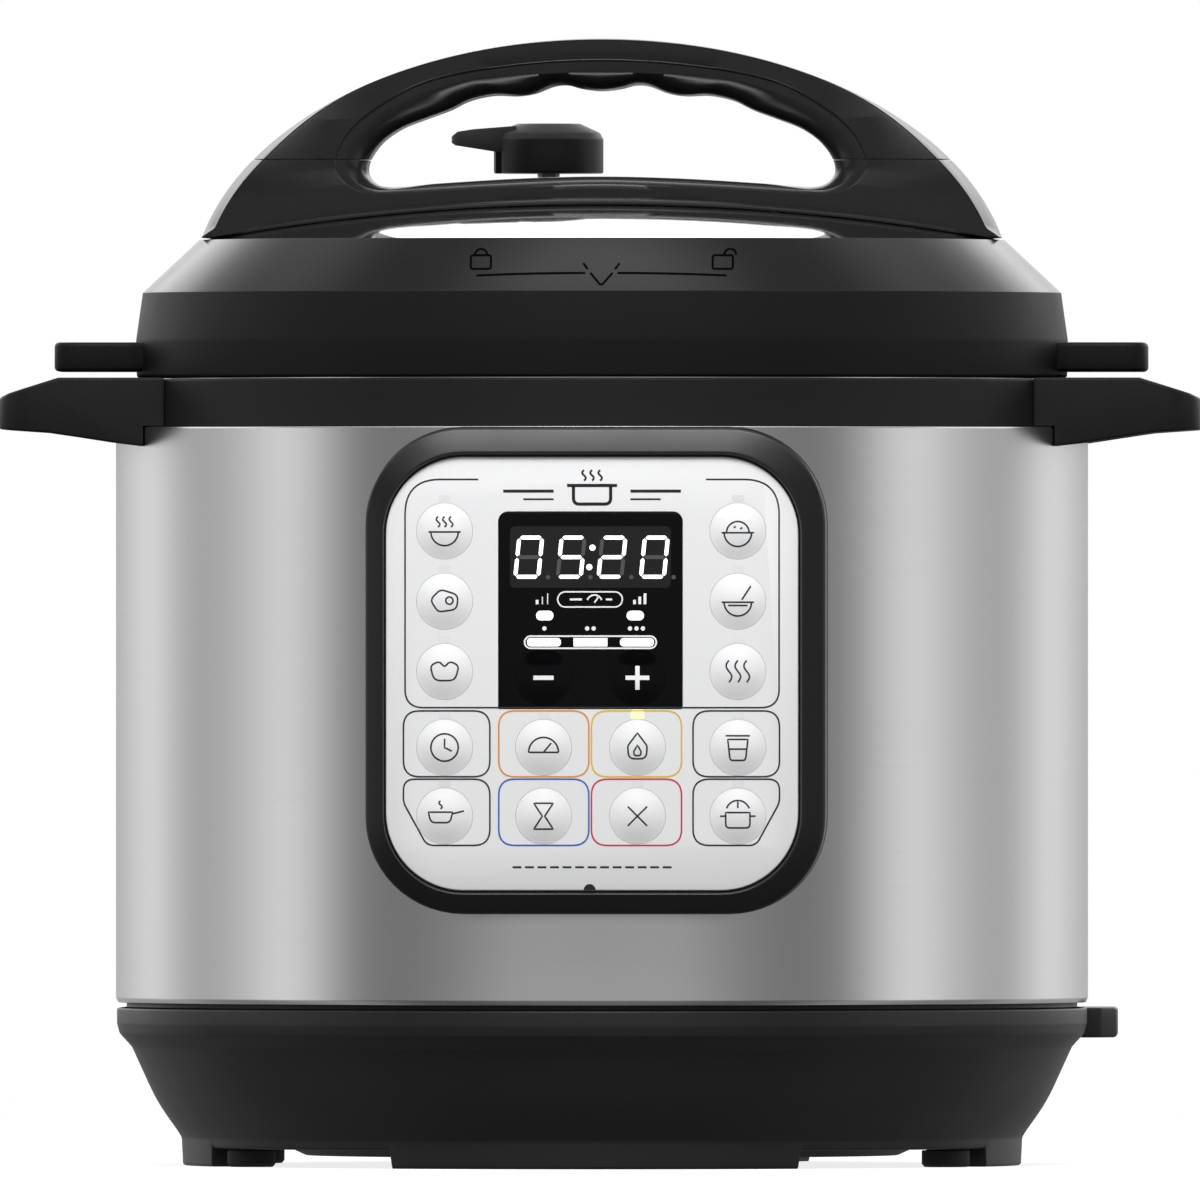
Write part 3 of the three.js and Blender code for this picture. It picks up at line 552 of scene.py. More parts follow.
def add_wall():
    wall = lathe_mesh([
        (117.1, 183.7), (117.1, 184.4, 0.2), (WALL_RADIUS, 184.4, 0.5),
        (WALL_RADIUS, 120), (WALL_RADIUS, 41.9, 1), (120.9, 40.7, 0.4), (120.4, 40.7), (120.8, 42.3, 1),
        (120.8, 183.7, 0.4),
    ], 256)
    wall = combined(wall, [slab(panel_outline(0, 0.15), IN_FRONT, -80, "XZ")])
    piece = finished("steel_wall", wall, "drum", "base", "drum_steel", "housing_shell")
    aim_normals(piece, around_axis)

    lathe("rim", [
        (96.2, 178.3), (119.5, 178.3), (119.5, 181, 0.4), (116.6, 181.2, 0.4), (116.5, 196.4, 0.7),
        (109.2, 196.4, 0.6), (109.2, 181, 0.5), (96.2, 181),
    ], "case", "base", "black_plastic", "upper_rim")


def add_side_handles():
    top = span("upper_rim")[1].z + 0.3
    reach = span("right_carry_handle")[1].x
    side = slab([
        (108, top), (134.75, top), (147.2, 192.8), (reach, 191.6), (reach, 183.8), (138, 183),
        (129.2, 181.7), (121.5, 180.5), (108, 178.8),
    ], -44, 44, "XZ")
    plan = slab(rounded_rectangle(60, 88, 10, (reach - 30, 0), 12), 170, 200)
    bar = bevelled(combined(side, [plan], "INTERSECT"), 0.9, 25)
    slot = slab(rounded_rectangle(9.2, 41, 3, (127.8, 0), 6), 170, 201)
    wall_room = cylinder_mesh(WALL_RADIUS + 0.35, 160, 184.7, steps=160)
    rim_room = cylinder_mesh(116.9, 184, 201, steps=160)
    bar = combined(bar, [slot, wall_room, rim_room])
    for name, mesh in (("right", bar), ("left", mirrored_mesh(bar))):
        finished(name + "_handle", mesh, "case", "base", "black_plastic", name + "_carry_handle")


# ---- liner, heater and sensors
LUG_COUNT = 6
LUG_SPREAD = 28


def lugs(inner, outer, low, high):
    made = []
    for i in range(LUG_COUNT):
        start = 360 / LUG_COUNT * (i + 0.5) - LUG_SPREAD / 2
        end = start + LUG_SPREAD
        outline = arc((0, 0), outer, start, end, 12) + arc((0, 0), inner, end, start, 12)
        made.append(slab(outline, low, high, edge=0.3))
    return made


def add_heater():
    liner = lathe_mesh([
        (76, 60.4), (88, 60.4, 3), (95.2, 68, 4), (95.2, 187, 0.8), (100.2, 187), (100.2, 188.4, 0.4),
        (94, 188.4, 1.4), (94, 68.5, 3), (87.5, 61.6, 2.4), (76, 61.6),
    ], 160)
    liner = combined(liner, [joined_mesh(*lugs(99.8, 104.5, 187, 188.4))], "UNION")
    finished("liner", liner, "pot", "base", "hardware_steel", "outer_pot", "liner_flange")
    grooves = []
    for radius in range(24, 68, 6):
        grooves += [(radius, 69.9), (radius + 0.5, 69.6), (radius + 1, 69.9)]
    lathe("heater_plate", [
        (17, 60.5), (71, 60.5, 0.5), (73, 62, 0.6), (73, 66, 1), (69, 69.9, 1.6), *grooves[::-1],
        (17, 69.9, 0.6),
    ], "aluminium", "base", "cast_aluminium", "heating_plate", 128, sharp=50)
    lathe("heater_ring", [
        (46, 56.2), (48, 54.2, 1.4), (52, 54.2, 1.4), (54, 56.2), (54, 60.1), (46, 60.1),
    ], "aluminium", "base", "cast_aluminium", "heating_element", 96)
    lathe("sensor_button", [
        (0, 58), (9, 58, 0.5), (9, 61, 0.5), (14.5, 61, 0.5), (14.5, 69, 0.6), (13.3, 70, 0.8),
        (6, 70, 0.3), (5.4, 69.6, 0.3), (0, 69.6),
    ], "aluminium", "sensor", "cast_aluminium", "temperature_sensor", 96)


# ---- control panel
FRAME_FRONT, FRAME_BACK = (corner.y for corner in span("panel_frame"))
FASCIA_FRONT, FASCIA_BACK = (corner.y for corner in span("panel_fascia"))


def add_panel_frame():
    rows = [
        (0, FRAME_BACK), (0, -130.2), (0.02, -130.8), (0.08, -131.2), (0.14, -131.4),
        (0.84, FRAME_FRONT + 0.1), (0.88, FRAME_FRONT), (0.91, FRAME_FRONT + 0.06),
        (0.93, FRAME_FRONT + 0.25), (0.98, FASCIA_FRONT + 0.05), (0.98, -128.9), (1.34, -128.9),
        (1.34, -126.6), (0.52, -126.6), (0.52, FRAME_BACK),
    ]
    mesh = skin([[(u, y, v) for u, v in panel_outline(fraction)] for fraction, y in rows])
    mesh = combined(mesh, [cylinder_mesh(120.3, 177.6, 190, steps=96)])
    finished("panel_surround", mesh, "surround", "base", "black_plastic", "panel_frame", sharp=40)


DISPLAY_LOW, DISPLAY_HIGH = span("display_window")
DISPLAY_X = (DISPLAY_LOW.x + DISPLAY_HIGH.x) / 2
DISPLAY_Z = (DISPLAY_LOW.z + DISPLAY_HIGH.z) / 2
DISPLAY_SIZE = (DISPLAY_HIGH.x - DISPLAY_LOW.x, DISPLAY_HIGH.z - DISPLAY_LOW.z)
HOLE_RADIUS, DOME_RADIUS, DOME_RISE, DOME_FULLNESS = 7.0, 6.94, 1.1, 1.2
KEY_RINGS = 14
KEY_FLANGE = (7.8, 0.6)  # radius and thickness, behind the fascia
LINE = 0.42  # width of a printed line
INK_DEPTH = 0.03
DISPLAY_KEYS = ("button_minus", "button_plus")
KEYS = [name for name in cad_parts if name.startswith("button_")]
KEEP_WARM = "button_keep_warm"


def key_centre(node):
    low, high = span(node)
    return (low.x + high.x) / 2, (low.z + high.z) / 2


def key_hole(node):
    return slab(circle(HOLE_RADIUS, *key_centre(node), 64), IN_FRONT, BEHIND, "XZ")


def panel_face(x, z):
    """The front of the fascia and of the display's glass, as y at (x, z)."""
    return FASCIA_FRONT


def divided(path, closed, longest=0.6):
    """The same path with its long segments cut into short ones."""
    ends = path[1:] + path[:1] if closed else path[1:]
    points = []
    for start, end in zip(path, ends):
        if (end - start).length < SHORTEST:
            continue
        parts = max(1, ceil((end - start).length / longest))
        points += [start.lerp(end, k / parts) for k in range(parts)]
    return points if closed else points + [path[-1]]


def stroke(points, surface=panel_face, width=LINE, closed=False, depth=INK_DEPTH):
    """A thin raised line along points (x, z), lying on the surface y = surface(x, z)."""
    path = divided([Vector(p) for p in points], closed)
    last = len(path) - 1
    loops = []
    for i, here in enumerate(path):
        before = path[i - 1] if closed or i else here
        after = path[(i + 1) % len(path)] if closed or i < last else here
        along = (after - before).normalized()
        side = Vector((-along.y, along.x)) * width / 2
        left, right = here + side, here - side
        loops.append([
            (spot.x, surface(*spot) + lift, spot.y)
            for spot, lift in ((left, depth), (left, -depth), (right, -depth), (right, depth))
        ])
    return skin(loops, closed)


def drawn(path, surface=panel_face):
    """A printed line, closed on itself where the path ends at its start."""
    closed = path[0] == path[-1]
    return stroke(path[:-1] if closed else path, surface, closed=closed)


def loop(path):
    return path + path[:1]


def patch(outline, depth=INK_DEPTH):
    """A thin raised area inside an outline (x, z) on the front of the panel."""
    return skin([[(u, FASCIA_FRONT + lift, v) for u, v in outline] for lift in (depth, -depth)], False)


def wave(x, low, high, swing=0.7, steps=12):
    return [
        (x + swing * sin(tau * i / steps), low + (high - low) * i / steps) for i in range(steps + 1)
    ]


def bowl_icon(top):
    return [[(-4, top), (4, top)], arc((0, top), 3.4, 180, 360, 14)]


def blob(*corners):
    return loop(softened(list(corners)))


# pictograms of the keys: lines in millimetres round the key's centre, closed if they end at their start
ICONS = {
    "soup": bowl_icon(-0.2) + [wave(x, 1.0, 3.6, 0.45) for x in (-1.6, 0, 1.6)],
    "meat": [
        blob((-3.6, 0.4, 1.6), (-1, 3, 1.8), (3.4, 1.6, 1.8), (3, -2, 1.8), (-1.6, -2.6, 1.6)),
        loop(circle(0.9, 1.2, 0.2)),
    ],
    "bean": [
        blob((-3.6, 1.6, 1.5), (-1.2, 2.6, 1.5), (0, 1, 1.2), (1.2, 2.6, 1.5), (3.6, 1.6, 1.5),
             (2.6, -2.2, 2), (-2.6, -2.2, 2)),
    ],
    "slow_cook": [loop(circle(3.4)), [(0, 2.2), (0, 0), (1.8, -0.9)]],
    "saute": [
        blob((-4, 1), (-3.4, -1.6, 1.4), (1.4, -1.6, 1.4), (2, 1)), [(2, 0.6), (4.8, 1.3)],
        wave(-1, 1.8, 3.8, 0.4),
    ],
    "pressure_level": [
        arc((0, -1.2), 3.7, 0, 180, 18), [(-3.7, -1.2), (3.7, -1.2)], [(0, -1.2), (1.9, 1.1)],
    ],
    "delay_start": [blob((-2.4, 3.2), (2.4, 3.2), (0.3, 0), (2.4, -3.2), (-2.4, -3.2), (-0.3, 0))],
    "keep_warm": [
        blob((0, 3.6), (2.4, 0.4, 1.5), (2.2, -2.8, 2), (-2.2, -2.8, 2), (-2.4, 0.4, 1.5)),
        blob((0, 0.6), (0.9, -1, 0.6), (0.8, -2, 0.6), (-0.8, -2, 0.6), (-0.9, -1, 0.6)),
    ],
    "cancel": [[(-2.4, -2.4), (2.4, 2.4)], [(-2.4, 2.4), (2.4, -2.4)]],
    "rice": bowl_icon(-0.4) + [
        arc((0, -0.4), 2.8, 0, 180, 14), [(-1, 0.8), (-0.5, 1.2)], [(0.6, 0.5), (1.1, 0.9)],
    ],
    "porridge": bowl_icon(-0.2) + [[(1, 0.4), (3.2, 3.8)], [(-2.4, -1), (2.4, -1)]],
    "steam": [wave(x, -2.6, 2.8) for x in (-2.2, 0, 2.2)],
    "yogurt": [
        blob((-2.5, 2), (2.5, 2), (1.9, -3.2, 0.8), (-1.9, -3.2, 0.8)), [(-3, 2.9), (3, 2.9)],
        [(-2.2, -0.4), (2.2, -0.4)],
    ],
    "pressure_cook": [
        blob((-3, 0.9), (3, 0.9), (3, -2.9, 1), (-3, -2.9, 1)), arc((0, 0.9), 3, 20, 160, 10),
        [(-4.4, 0), (-3, 0)], [(3, 0), (4.4, 0)], [(0, 2), (0, 3.6)],
    ],
}


def dome_surface(cx, cz):
    """The front of a key's dome, as y at (x, z)."""
    def surface(x, z):
        away = min(hypot(x - cx, z - cz) / DOME_RADIUS, 1)
        return FASCIA_FRONT - DOME_RISE * (1 - away ** 2) ** DOME_FULLNESS

    return surface


def key_mesh(x, z, surface, steps=64):
    """A key turned about the line along Y through (x, z)."""
    back, (flange, thickness) = FASCIA_BACK + 0.3, KEY_FLANGE
    radii = [DOME_RADIUS * k / KEY_RINGS for k in range(KEY_RINGS + 1)]
    profile = [(radius, surface(x + radius, z)) for radius in radii]
    profile += [(DOME_RADIUS, back), (flange, back), (flange, back + thickness), (0, back + thickness)]
    loops = []
    for angle in (tau * i / steps for i in range(steps)):
        loops.append([(x + r * cos(angle), y, z + r * sin(angle)) for r, y in profile])
    return skin(loops)


def add_keys():
    for node in KEYS:
        name = node.removeprefix("button_")
        x, z = key_centre(node)
        surface = dome_surface(x, z)
        if node in DISPLAY_KEYS:
            arm = 2.5 if name == "minus" else 2.95
            lines = [stroke([(x - arm, z), (x + arm, z)], surface, 1.07)]
            if name == "plus":
                lines.append(stroke([(x, z - arm), (x, z + arm)], surface, 1.07, depth=INK_DEPTH * 1.2))
            body, ink, slot = "display", "white", "display_black"
        else:
            lines = [drawn([(u + x, v + z) for u, v in path], surface) for path in ICONS[name]]
            body, ink, slot = "silver", "ink", "fascia_silver"
        mesh = painted((key_mesh(x, z, surface), body), (joined_mesh(*lines), ink))
        finished("key_" + name, mesh, None, name + "_key", slot, node, sharp=50)


def display_outline(grow=0.0):
    width, height = (size + 0.6 + 2 * grow for size in DISPLAY_SIZE)
    return rounded_rectangle(width, height, (0.5, 2.5, 2.5, 0.5), (DISPLAY_X, DISPLAY_Z), 8)


def fascia_lines():
    """Printed outlines round the groups of keys: (finish, path)."""
    left, top, foot = -46.3, 171.1, 114.6
    group = softened([(-28.2, top), (left, top, 17), (left, foot, 4.6), (0, foot)], False, 12)
    lines = [("ink", [(side * u, v) for u, v in group]) for side in (1, -1)]
    upper, lower = (97.5, 113.8), (80.5, 96.9)  # each row stays clear of the round keys in it
    cells = [
        (-36.0, upper, "ink", 0), (-36.0, lower, "ink", 1), (35.7, upper, "ink", 0), (35.7, lower, "ink", -1),
        (-11.95, upper, "orange", 0), (-11.95, lower, "blue", 0), (11.0, upper, "yellow", 0),
        (11.0, lower, "red", 0),
    ]
    for x, (low, high), finish, slant in cells:
        half = 10.7 if abs(x) > 30 else 11.15
        corners = [(-half, high, 4), (half, high, 4), (half, low, 4), (-half, low, 4)]
        if slant:
            corners[:1] = [(-half, high, 3.4)]
            corners[3:] = [(-half + 5.8, low, 3), (-half, high - 5.8, 5)]
        corners = [(x + (slant or 1) * u, v, radius) for u, v, radius in corners]
        lines.append((finish, loop(softened(corners, True, 8))))
    return lines


def add_fascia():
    width, height = (size - 0.6 for size in OPENING_SIZE)
    outline = rounded_rectangle(width, height, 19.2, (0, PANEL_CENTRE_Z), 16)
    sheet = slab(outline, FASCIA_FRONT, FASCIA_BACK, "XZ", 0.35)
    plain = [node for node in KEYS if node not in DISPLAY_KEYS]
    window = slab(display_outline(), IN_FRONT, BEHIND, "XZ")
    sheet = combined(sheet, [joined_mesh(window, *(key_hole(node) for node in plain))])
    layers = [(sheet, "silver")]
    for finish in ("ink", "orange", "blue", "yellow", "red"):
        strokes = [drawn(path) for name, path in fascia_lines() if name == finish]
        layers.append((joined_mesh(*strokes), finish))
    layers.append((joined_mesh(*fascia_marks()), "mark"))
    lamps = []
    for node in plain:
        if node != KEEP_WARM:
            x, z = key_centre(node)
            lamps.append(patch(rounded_rectangle(3.0, 1.7, 0.5, (x, z + 8.1), 3), 0.02))
    layers.append((joined_mesh(*lamps), "window"))
    x, z = key_centre(KEEP_WARM)
    layers.append((patch(rounded_rectangle(3.2, 2.3, 0.4, (x, z + 8.2), 3), 0.025), "amber"))
    finished("fascia", painted(*layers), None, "base", "fascia_silver", "panel_fascia", sharp=40)


def fascia_marks():
    """Plain marks of no maker: a pot with steam above the display and a row of dashes below."""
    top = 168.2
    corners = [(-4.6, top + 1.2), (-4.6, top - 3.2, 1.4), (4.6, top - 3.2, 1.4), (4.6, top + 1.2)]
    lines = [(softened(corners, False), 0.8), ([(-6.2, top + 1.4), (6.2, top + 1.4)], 0.8)]
    lines += [(wave(x, top + 2.6, top + 5.2, 0.45), 0.5) for x in (-2, 0, 2)]
    for side in (-1, 1):
        lines.append(([(side * 9.5, top), (side * 22, top)], 0.75))
        lines.append(([(side * 9.5, top - 2), (side * 17, top - 2)], 0.45))
    lines += [([(3.1 * i - 1.1, 75.1), (3.1 * i + 1.1, 75.1)], 0.5) for i in range(-6, 7)]
    notch = arc((-0.6, 69.45), 1.5, 0, 180, 10)
    return [stroke(path, width=width) for path, width in lines] + [patch(notch)]


# seven-segment digits: lit segments, a at the top then clockwise, g in the middle
SEGMENTS = {"0": "abcdef", "2": "abged", "5": "afgcd"}
DIGIT_WIDTH, DIGIT_HEIGHT, DIGIT_SLANT = 5.7, 9.7, 0.1
SEGMENT_WIDTH, SEGMENT_GAP = 0.95, 0.2
LIGHT_DEPTH = 0.05


def digit_segments(left, low):
    """Flat bars of one digit, by letter."""
    w, h, half = DIGIT_WIDTH, DIGIT_HEIGHT, SEGMENT_WIDTH / 2
    ends = {
        "a": ((0, h), (w, h)), "b": ((w, h), (w, h / 2)), "c": ((w, h / 2), (w, 0)), "d": ((0, 0), (w, 0)),
        "e": ((0, 0), (0, h / 2)), "f": ((0, h / 2), (0, h)), "g": ((0, h / 2), (w, h / 2)),
    }
    bars = {}
    for letter, pair in ends.items():
        start, end = map(Vector, pair)
        along = (end - start).normalized()
        side, step = Vector((-along.y, along.x)) * half, along * half
        start, end = start + along * SEGMENT_GAP, end - along * SEGMENT_GAP
        corners = [
            start, start + step + side, end - step + side, end, end - step - side, start + step - side,
        ]
        outline = [(left + p.x + DIGIT_SLANT * p.y, low + p.y) for p in corners]
        bars[letter] = patch(outline, LIGHT_DEPTH)
    return bars


def add_display():
    glass = slab(display_outline(-0.25), FASCIA_FRONT, FASCIA_BACK - 0.6, "XZ", 0.2)
    glass = combined(glass, [joined_mesh(*(key_hole(node) for node in DISPLAY_KEYS))])
    finished("display_glass", glass, "display", "base", "display_black", "display_window", sharp=40)

    module = patch(rounded_rectangle(39.8, 15.2, 1.2, (-0.4, 151.9), 4), 0.02)
    lit, unlit = [], []
    for left, digit in zip((-19.0, -8.5, 1.6, 12.1), "0520"):
        for letter, bar in digit_segments(left, 147.0).items():
            (lit if letter in SEGMENTS[digit] else unlit).append(bar)
        unlit.append(patch(circle(0.55, left + 8.1, 146.9, 12), LIGHT_DEPTH))
    lit += [patch(circle(0.75, x, z, 16), LIGHT_DEPTH) for x, z in ((0.1, 154.2), (-0.7, 149.4))]

    level = 141.4  # the gauge between two sets of bars, then dots over the level lamps
    white = [stroke(rounded_rectangle(16, 3.75, 1.87, (-0.5, level), 8), width=0.35, closed=True)]
    white += [stroke(path, width=width) for path, width in (
        ([(-5.5, level), (-2.5, level)], 0.5), (arc((0.6, 140.6), 1.9, 20, 160, 8), 0.4),
        ([(0.6, 140.6), (1.5, 141.9)], 0.4), ([(3.4, level), (5, level)], 0.5),
    )]
    for centre, count in ((-12.3, 1), (11.8, 3)):
        for k in range(3):
            x = centre + 1.3 * (k - 1)
            white.append(stroke([(x, 140.2), (x, 141.3 + 0.8 * k)], width=0.7 if k < count else 0.25))
    for centre, count in ((-11.8, 1), (-0.4, 2), (11.0, 3)):
        for k in range(count):
            white.append(patch(circle(0.55, centre + 1.6 * (k - (count - 1) / 2), 134.2, 12)))
    white.append(stroke(rounded_rectangle(32.6, 3.0, 1.49, (-0.4, 130.8), 8), width=0.4, closed=True))
    pills = [patch(rounded_rectangle(4.3, 2.4, 1.15, (x, 137.4), 5)) for x in (-11.7, 10.7)]
    bars = [
        patch(rounded_rectangle(8.4, 2.1, radius, (x, 130.8), 4))
        for x, radius in ((-11.9, 0.9), (-0.4, 0.05), (11.1, 0.9))
    ]
    layers = [([module], "module"), (lit, "digit"), (unlit, "unlit"), (white, "white")]
    layers += [(pills, "lamp"), (bars, "lamp")]
    layers = [(joined_mesh(*meshes), finish) for meshes, finish in layers]
    finished("display_light", painted(*layers), None, "base", "display_black", "led_display")


# ---- condensation cup
def add_cup():
    low, high = span("condensation_cup")
    z0, z1 = (corner.z for corner in span("cup_holder"))
    holder = slab(rounded_rectangle(53, z1 - z0, 3, (0, (z0 + z1) / 2), 5), 112, 122.9, "XZ")
    for near, front, edge in ((23.6, 112, 0.7), (21.9, 126, 0.5)):
        rails = [
            box_mesh(*sorted((side * near, side * 26.5)), front, 127.6, z0 + 2, z1 - 2, edge)
            for side in (-1, 1)
        ]
        holder = combined(holder, [joined_mesh(*rails)], "UNION")
    holder = combined(holder, [cylinder_mesh(WALL_RADIUS + 0.3, 120, 182, steps=160)])
    finished("cup_rails", holder, "case", "base", "black_plastic", "cup_holder")

    middle = (low.z + high.z) / 2
    tall = high.z - low.z
    body = slab(rounded_rectangle(42.8, tall, 5, (0, middle), 8), low.y, high.y, "XZ", 1.2)
    flange = slab(rounded_rectangle(46.4, tall - 4, 3, (0, middle + 2), 5), low.y, low.y + 2.3, "XZ", 0.4)
    outline = rounded_rectangle(39.8, tall, 3.6, (0, middle + 1.5), 8)
    inside = slab(outline, low.y + 1.5, high.y - 1.5, "XZ", 0.8)
    mouth = box_mesh(-19.9, 19.9, low.y + 1.5, high.y - 1.5, high.z - 6, high.z + 2)
    cup = combined(combined(body, [flange], "UNION"), [inside])
    cup = combined(cup, [mouth])
    finished("cup", cup, "cup", "cup", "smoked_plastic", "condensation_cup", sharp=40)


# ---- pot, seal and lid
LID_DOME_TOP = 240.8
LID_DOME_BALL = 520.0
DOME_SHADING_BALL = 650.0
SCREW_X = 74.0
VALVE_X, VALVE_Y = 14.2, 44.0


def dome_height(radius):
    return LID_DOME_TOP - (LID_DOME_BALL - sqrt(LID_DOME_BALL ** 2 - radius ** 2))


def dome_row(offset, edge, steps=24):
    radii = (edge * i / steps for i in range(steps + 1))
    return [(radius, dome_height(radius) + offset) for radius in radii]


def add_pot():
    lathe("pot", [
        (0, 70.3), (91, 70.3, 11.5), (91, 186.6, 1), (92.4, 188.8, 1), (97.8, 188.8, 0.5), (98.1, 190.2, 0.5),
        (92, 190.2, 1.4), (89.8, 187.6, 1.6), (89.8, 71.5, 10.4), (0, 71.5),
    ], "pot", "pot", "pot_steel", "inner_pot", 192)


def add_seal():
    lathe("seal_ring", [
        (91.6, 190.5, 0.4), (98.9, 190.5, 0.4), (99.4, 192, 0.8), (99.4, 202.5, 0.9), (91, 202.5, 1),
        (91, 199.2, 0.8), (96.4, 198.6, 0.8), (96.4, 193.6, 0.8), (91.6, 192.6, 0.7),
    ], "silicone", "seal", "silicone", "sealing_ring", 160)
    lathe("seal_holder", [
        (89.2, 192.4), (90.4, 192.4, 0.3), (90.4, 202.9), (103, 202.9, 0.5), (103, 223.6, 0.3),
        (101.8, 223.6), (101.8, 204.1, 0.4), (89.2, 204.1, 0.6),
    ], "hardware", "lid", "hardware_steel", "seal_rack", 160)


def dome_normal(point):
    """Smooth shading for the dome, a little flatter than its shape, so that reflections stay calm."""
    return (point / MM - Vector((0, 0, LID_DOME_TOP - DOME_SHADING_BALL))).normalized()


def add_lid():
    shell = lathe_mesh([
        *dome_row(0, 99.6), (100.2, 228.4, 0.5), (106.4, 222.6, 2), (107.7, 220.6, 1), (107.7, 183.6),
        (106.5, 183.6), (106.5, 220, 1), (105.4, 221.8, 1), (99, 227.8, 0.6), *dome_row(-1.2, 98.4)[::-1],
    ], 192)
    shell = combined(shell, [joined_mesh(*lugs(101.7, 107.2, 183.6, 185.2))], "UNION")
    holes = (
        (-VALVE_X, VALVE_Y, 4.1, 48), (VALVE_X, VALVE_Y, 2.8, 48), (SCREW_X, 0, 2.6, 32),
        (-SCREW_X, 0, 2.6, 32),
    )
    tools = [cylinder_mesh(radius, 220, 250, (x, y), steps) for x, y, radius, steps in holes]
    shell = combined(shell, [joined_mesh(*tools)])
    lid = finished("lid_dome", shell, "dome", "lid", "lid_steel", "pressure_lid")
    aim_normals(lid, dome_normal)


RING_FACE = ((116.5, 206.0), (114.8, 218.0), (100.5, 231.35))


def ring_surface(x, z):
    """The front of the lid's plastic ring, as y at (x, z)."""
    for (r0, z0), (r1, z1) in zip(RING_FACE, RING_FACE[1:]):
        if z <= z1:
            break
    radius = r0 + (r1 - r0) * (z - z0) / (z1 - z0)
    return -sqrt(radius * radius - x * x)


def lid_marks(x):
    """Position mark, guide lines and padlocks of the lid's ring, centred on x."""
    marks = [softened([(-2.7, 222.4), (0, 219.1, 0.8), (2.8, 222.4)], False)]
    for side in (-1, 1):
        marks.append([(side * 4.5, 224.8), (side * 3.4, 223.3)])
        marks.append([(side * u, 222.35 - 0.0008 * (u - 3.5) ** 2) for u in range(4, 32, 3)])
    for middle, tilt in ((-30, 0), (30, 1.8)):
        marks.append(loop(rounded_rectangle(5, 3.4, 0.5, (middle, 225.1), 3)))
        marks.append(arc((middle + tilt, 226.9), 1.5, 0, 180, 8))
    return [[(u + x, v) for u, v in path] for path in marks]


def add_lid_ring():
    ring = lathe_mesh([
        (113.8, 196.8), (116.3, 196.8, 0.8), (*RING_FACE[0], 8), (*RING_FACE[1], 0.5), (*RING_FACE[2], 0.15),
        (100.5, 229.2), (106.9, 223.2, 1), (108.1, 221.3, 1), (108.1, 214), (110.2, 214), (112, 217.4, 0.6),
        (113.8, 214),
    ], 192)
    plan = softened([
        (104, -43), (107.5, -43), (113, -21.5, 26), (124.5, -20.4, 6), (136.5, -19.6, 8), (136.5, 19.6, 8),
        (124.5, 20.4, 6), (113, 21.5, 26), (107.5, 43), (104, 43),
    ], True, 10)
    fin = combined(slab(plan, 198.3, 205.6, edge=1.1), [cylinder_mesh(114.3, 190, 210, steps=160)])
    both = joined_mesh(fin, mirrored_mesh(fin))
    ring = combined(ring, [both], "UNION")
    offset = sin(VIEW_TURN) * RING_FACE[-1][0]
    # the marks are raised strokes painted near-black, a painted shade in place of the shade in engraved
    # grooves
    marks = [stroke(path, ring_surface, 0.55) for path in lid_marks(offset)]
    mesh = painted((ring, "lid"), (joined_mesh(*marks), "engraved"))
    mesh.materials.append(FINISH["ring"])
    for face in mesh.polygons:
        if face.material_index == 0 and face.center.z > RING_FACE[1][1] * MM:
            face.material_index = 2
    finished("lid_ring", mesh, None, "lid", "black_plastic", "lid_rim")


# ---- lid handle
HANDLE_HALF_LENGTH = 102.5
HANDLE_RISE = 63.8
HANDLE_CENTRE_Z = 217.8
SPLIT_Z = 251.25
HANDLE_GAP = 0.3
SEAT_GAP = 0.05
FLANGE_REACH = 93.0  # half the length of the flange under the handle
DOME_REACH = 104  # radius beyond which the dome's height no longer falls for the parts on it
CURVE_STEPS = 8  # in each rounding of the handle's section
CROWN_SWING, CREASE = radians(62), radians(38)
THICK, THIN = 22, 16.5  # half the handle's thickness at its feet and at its top
FOOT_CROWN, TOP_CROWN, SEAT_CROWN = 3.2, 0.35, 0.3  # width of the rounding along the outer edge
SINK, SEAT_SINK = 7.0, 1.8  # depth of the hollow behind the lip
FOOT_Z = 231.5
LEAST_TURN = 0.004  # between two sections
ARCH_STEPS, SEAT_STEPS = 60, 40  # in the outline, over the arch and along the dome
WINDOW_CENTRE = Vector((0, 255))

# right halves of the outlines round the finger opening, from the top centre to the bottom centre
LIP_KNOTS = (
    (0, 276.1), (17.2, 275.3), (35, 272.8), (46.8, 269.4), (57.2, 263.2), (63.3, 257.6), (66.5, 250.8),
    (65.5, 247.4), (62, 244.3), (57, 242.7), (50, 242.7), (25, 244.2), (0, 245.1),
)
HOLLOW_KNOTS = (
    (0, 273.2), (11, 272.8), (29, 271.7), (41, 268.9), (52.5, 264.2), (58.5, 260.2), (62.7, 254.4),
    (63.5, 250.8), (62.8, 247.9), (60.3, 245.2), (56.5, 243.7), (50, 243.7), (25, 245.2), (0, 246.1),
)
WINDOW_KNOTS = (
    (0, 268.5), (4.8, 269), (8.5, 269.9), (12, 269.6), (16.5, 267.9), (21, 267.2), (27, 267.3), (33, 266),
    (38, 263.6), (44, 261.4), (50, 259), (55, 255.4), (58.2, 250.6), (57.8, 246.6), (53, 244.4), (40, 245.3),
    (20, 246.5), (0, 247),
)


def handle_outline():
    """The handle's outer edge, from the top centre over the right foot to the bottom centre."""
    foot = asin((FOOT_Z - HANDLE_CENTRE_Z) / HANDLE_RISE)
    path = []
    for i in range(ARCH_STEPS + 1):
        angle = pi / 2 + (foot - pi / 2) * i / ARCH_STEPS
        path.append((HANDLE_HALF_LENGTH * cos(angle), HANDLE_CENTRE_Z + HANDLE_RISE * sin(angle)))
    seat = [path[-1][0] * (1 - i / SEAT_STEPS) for i in range(1, SEAT_STEPS + 1)]
    return path + [(x, dome_height(x) + SEAT_GAP) for x in seat]


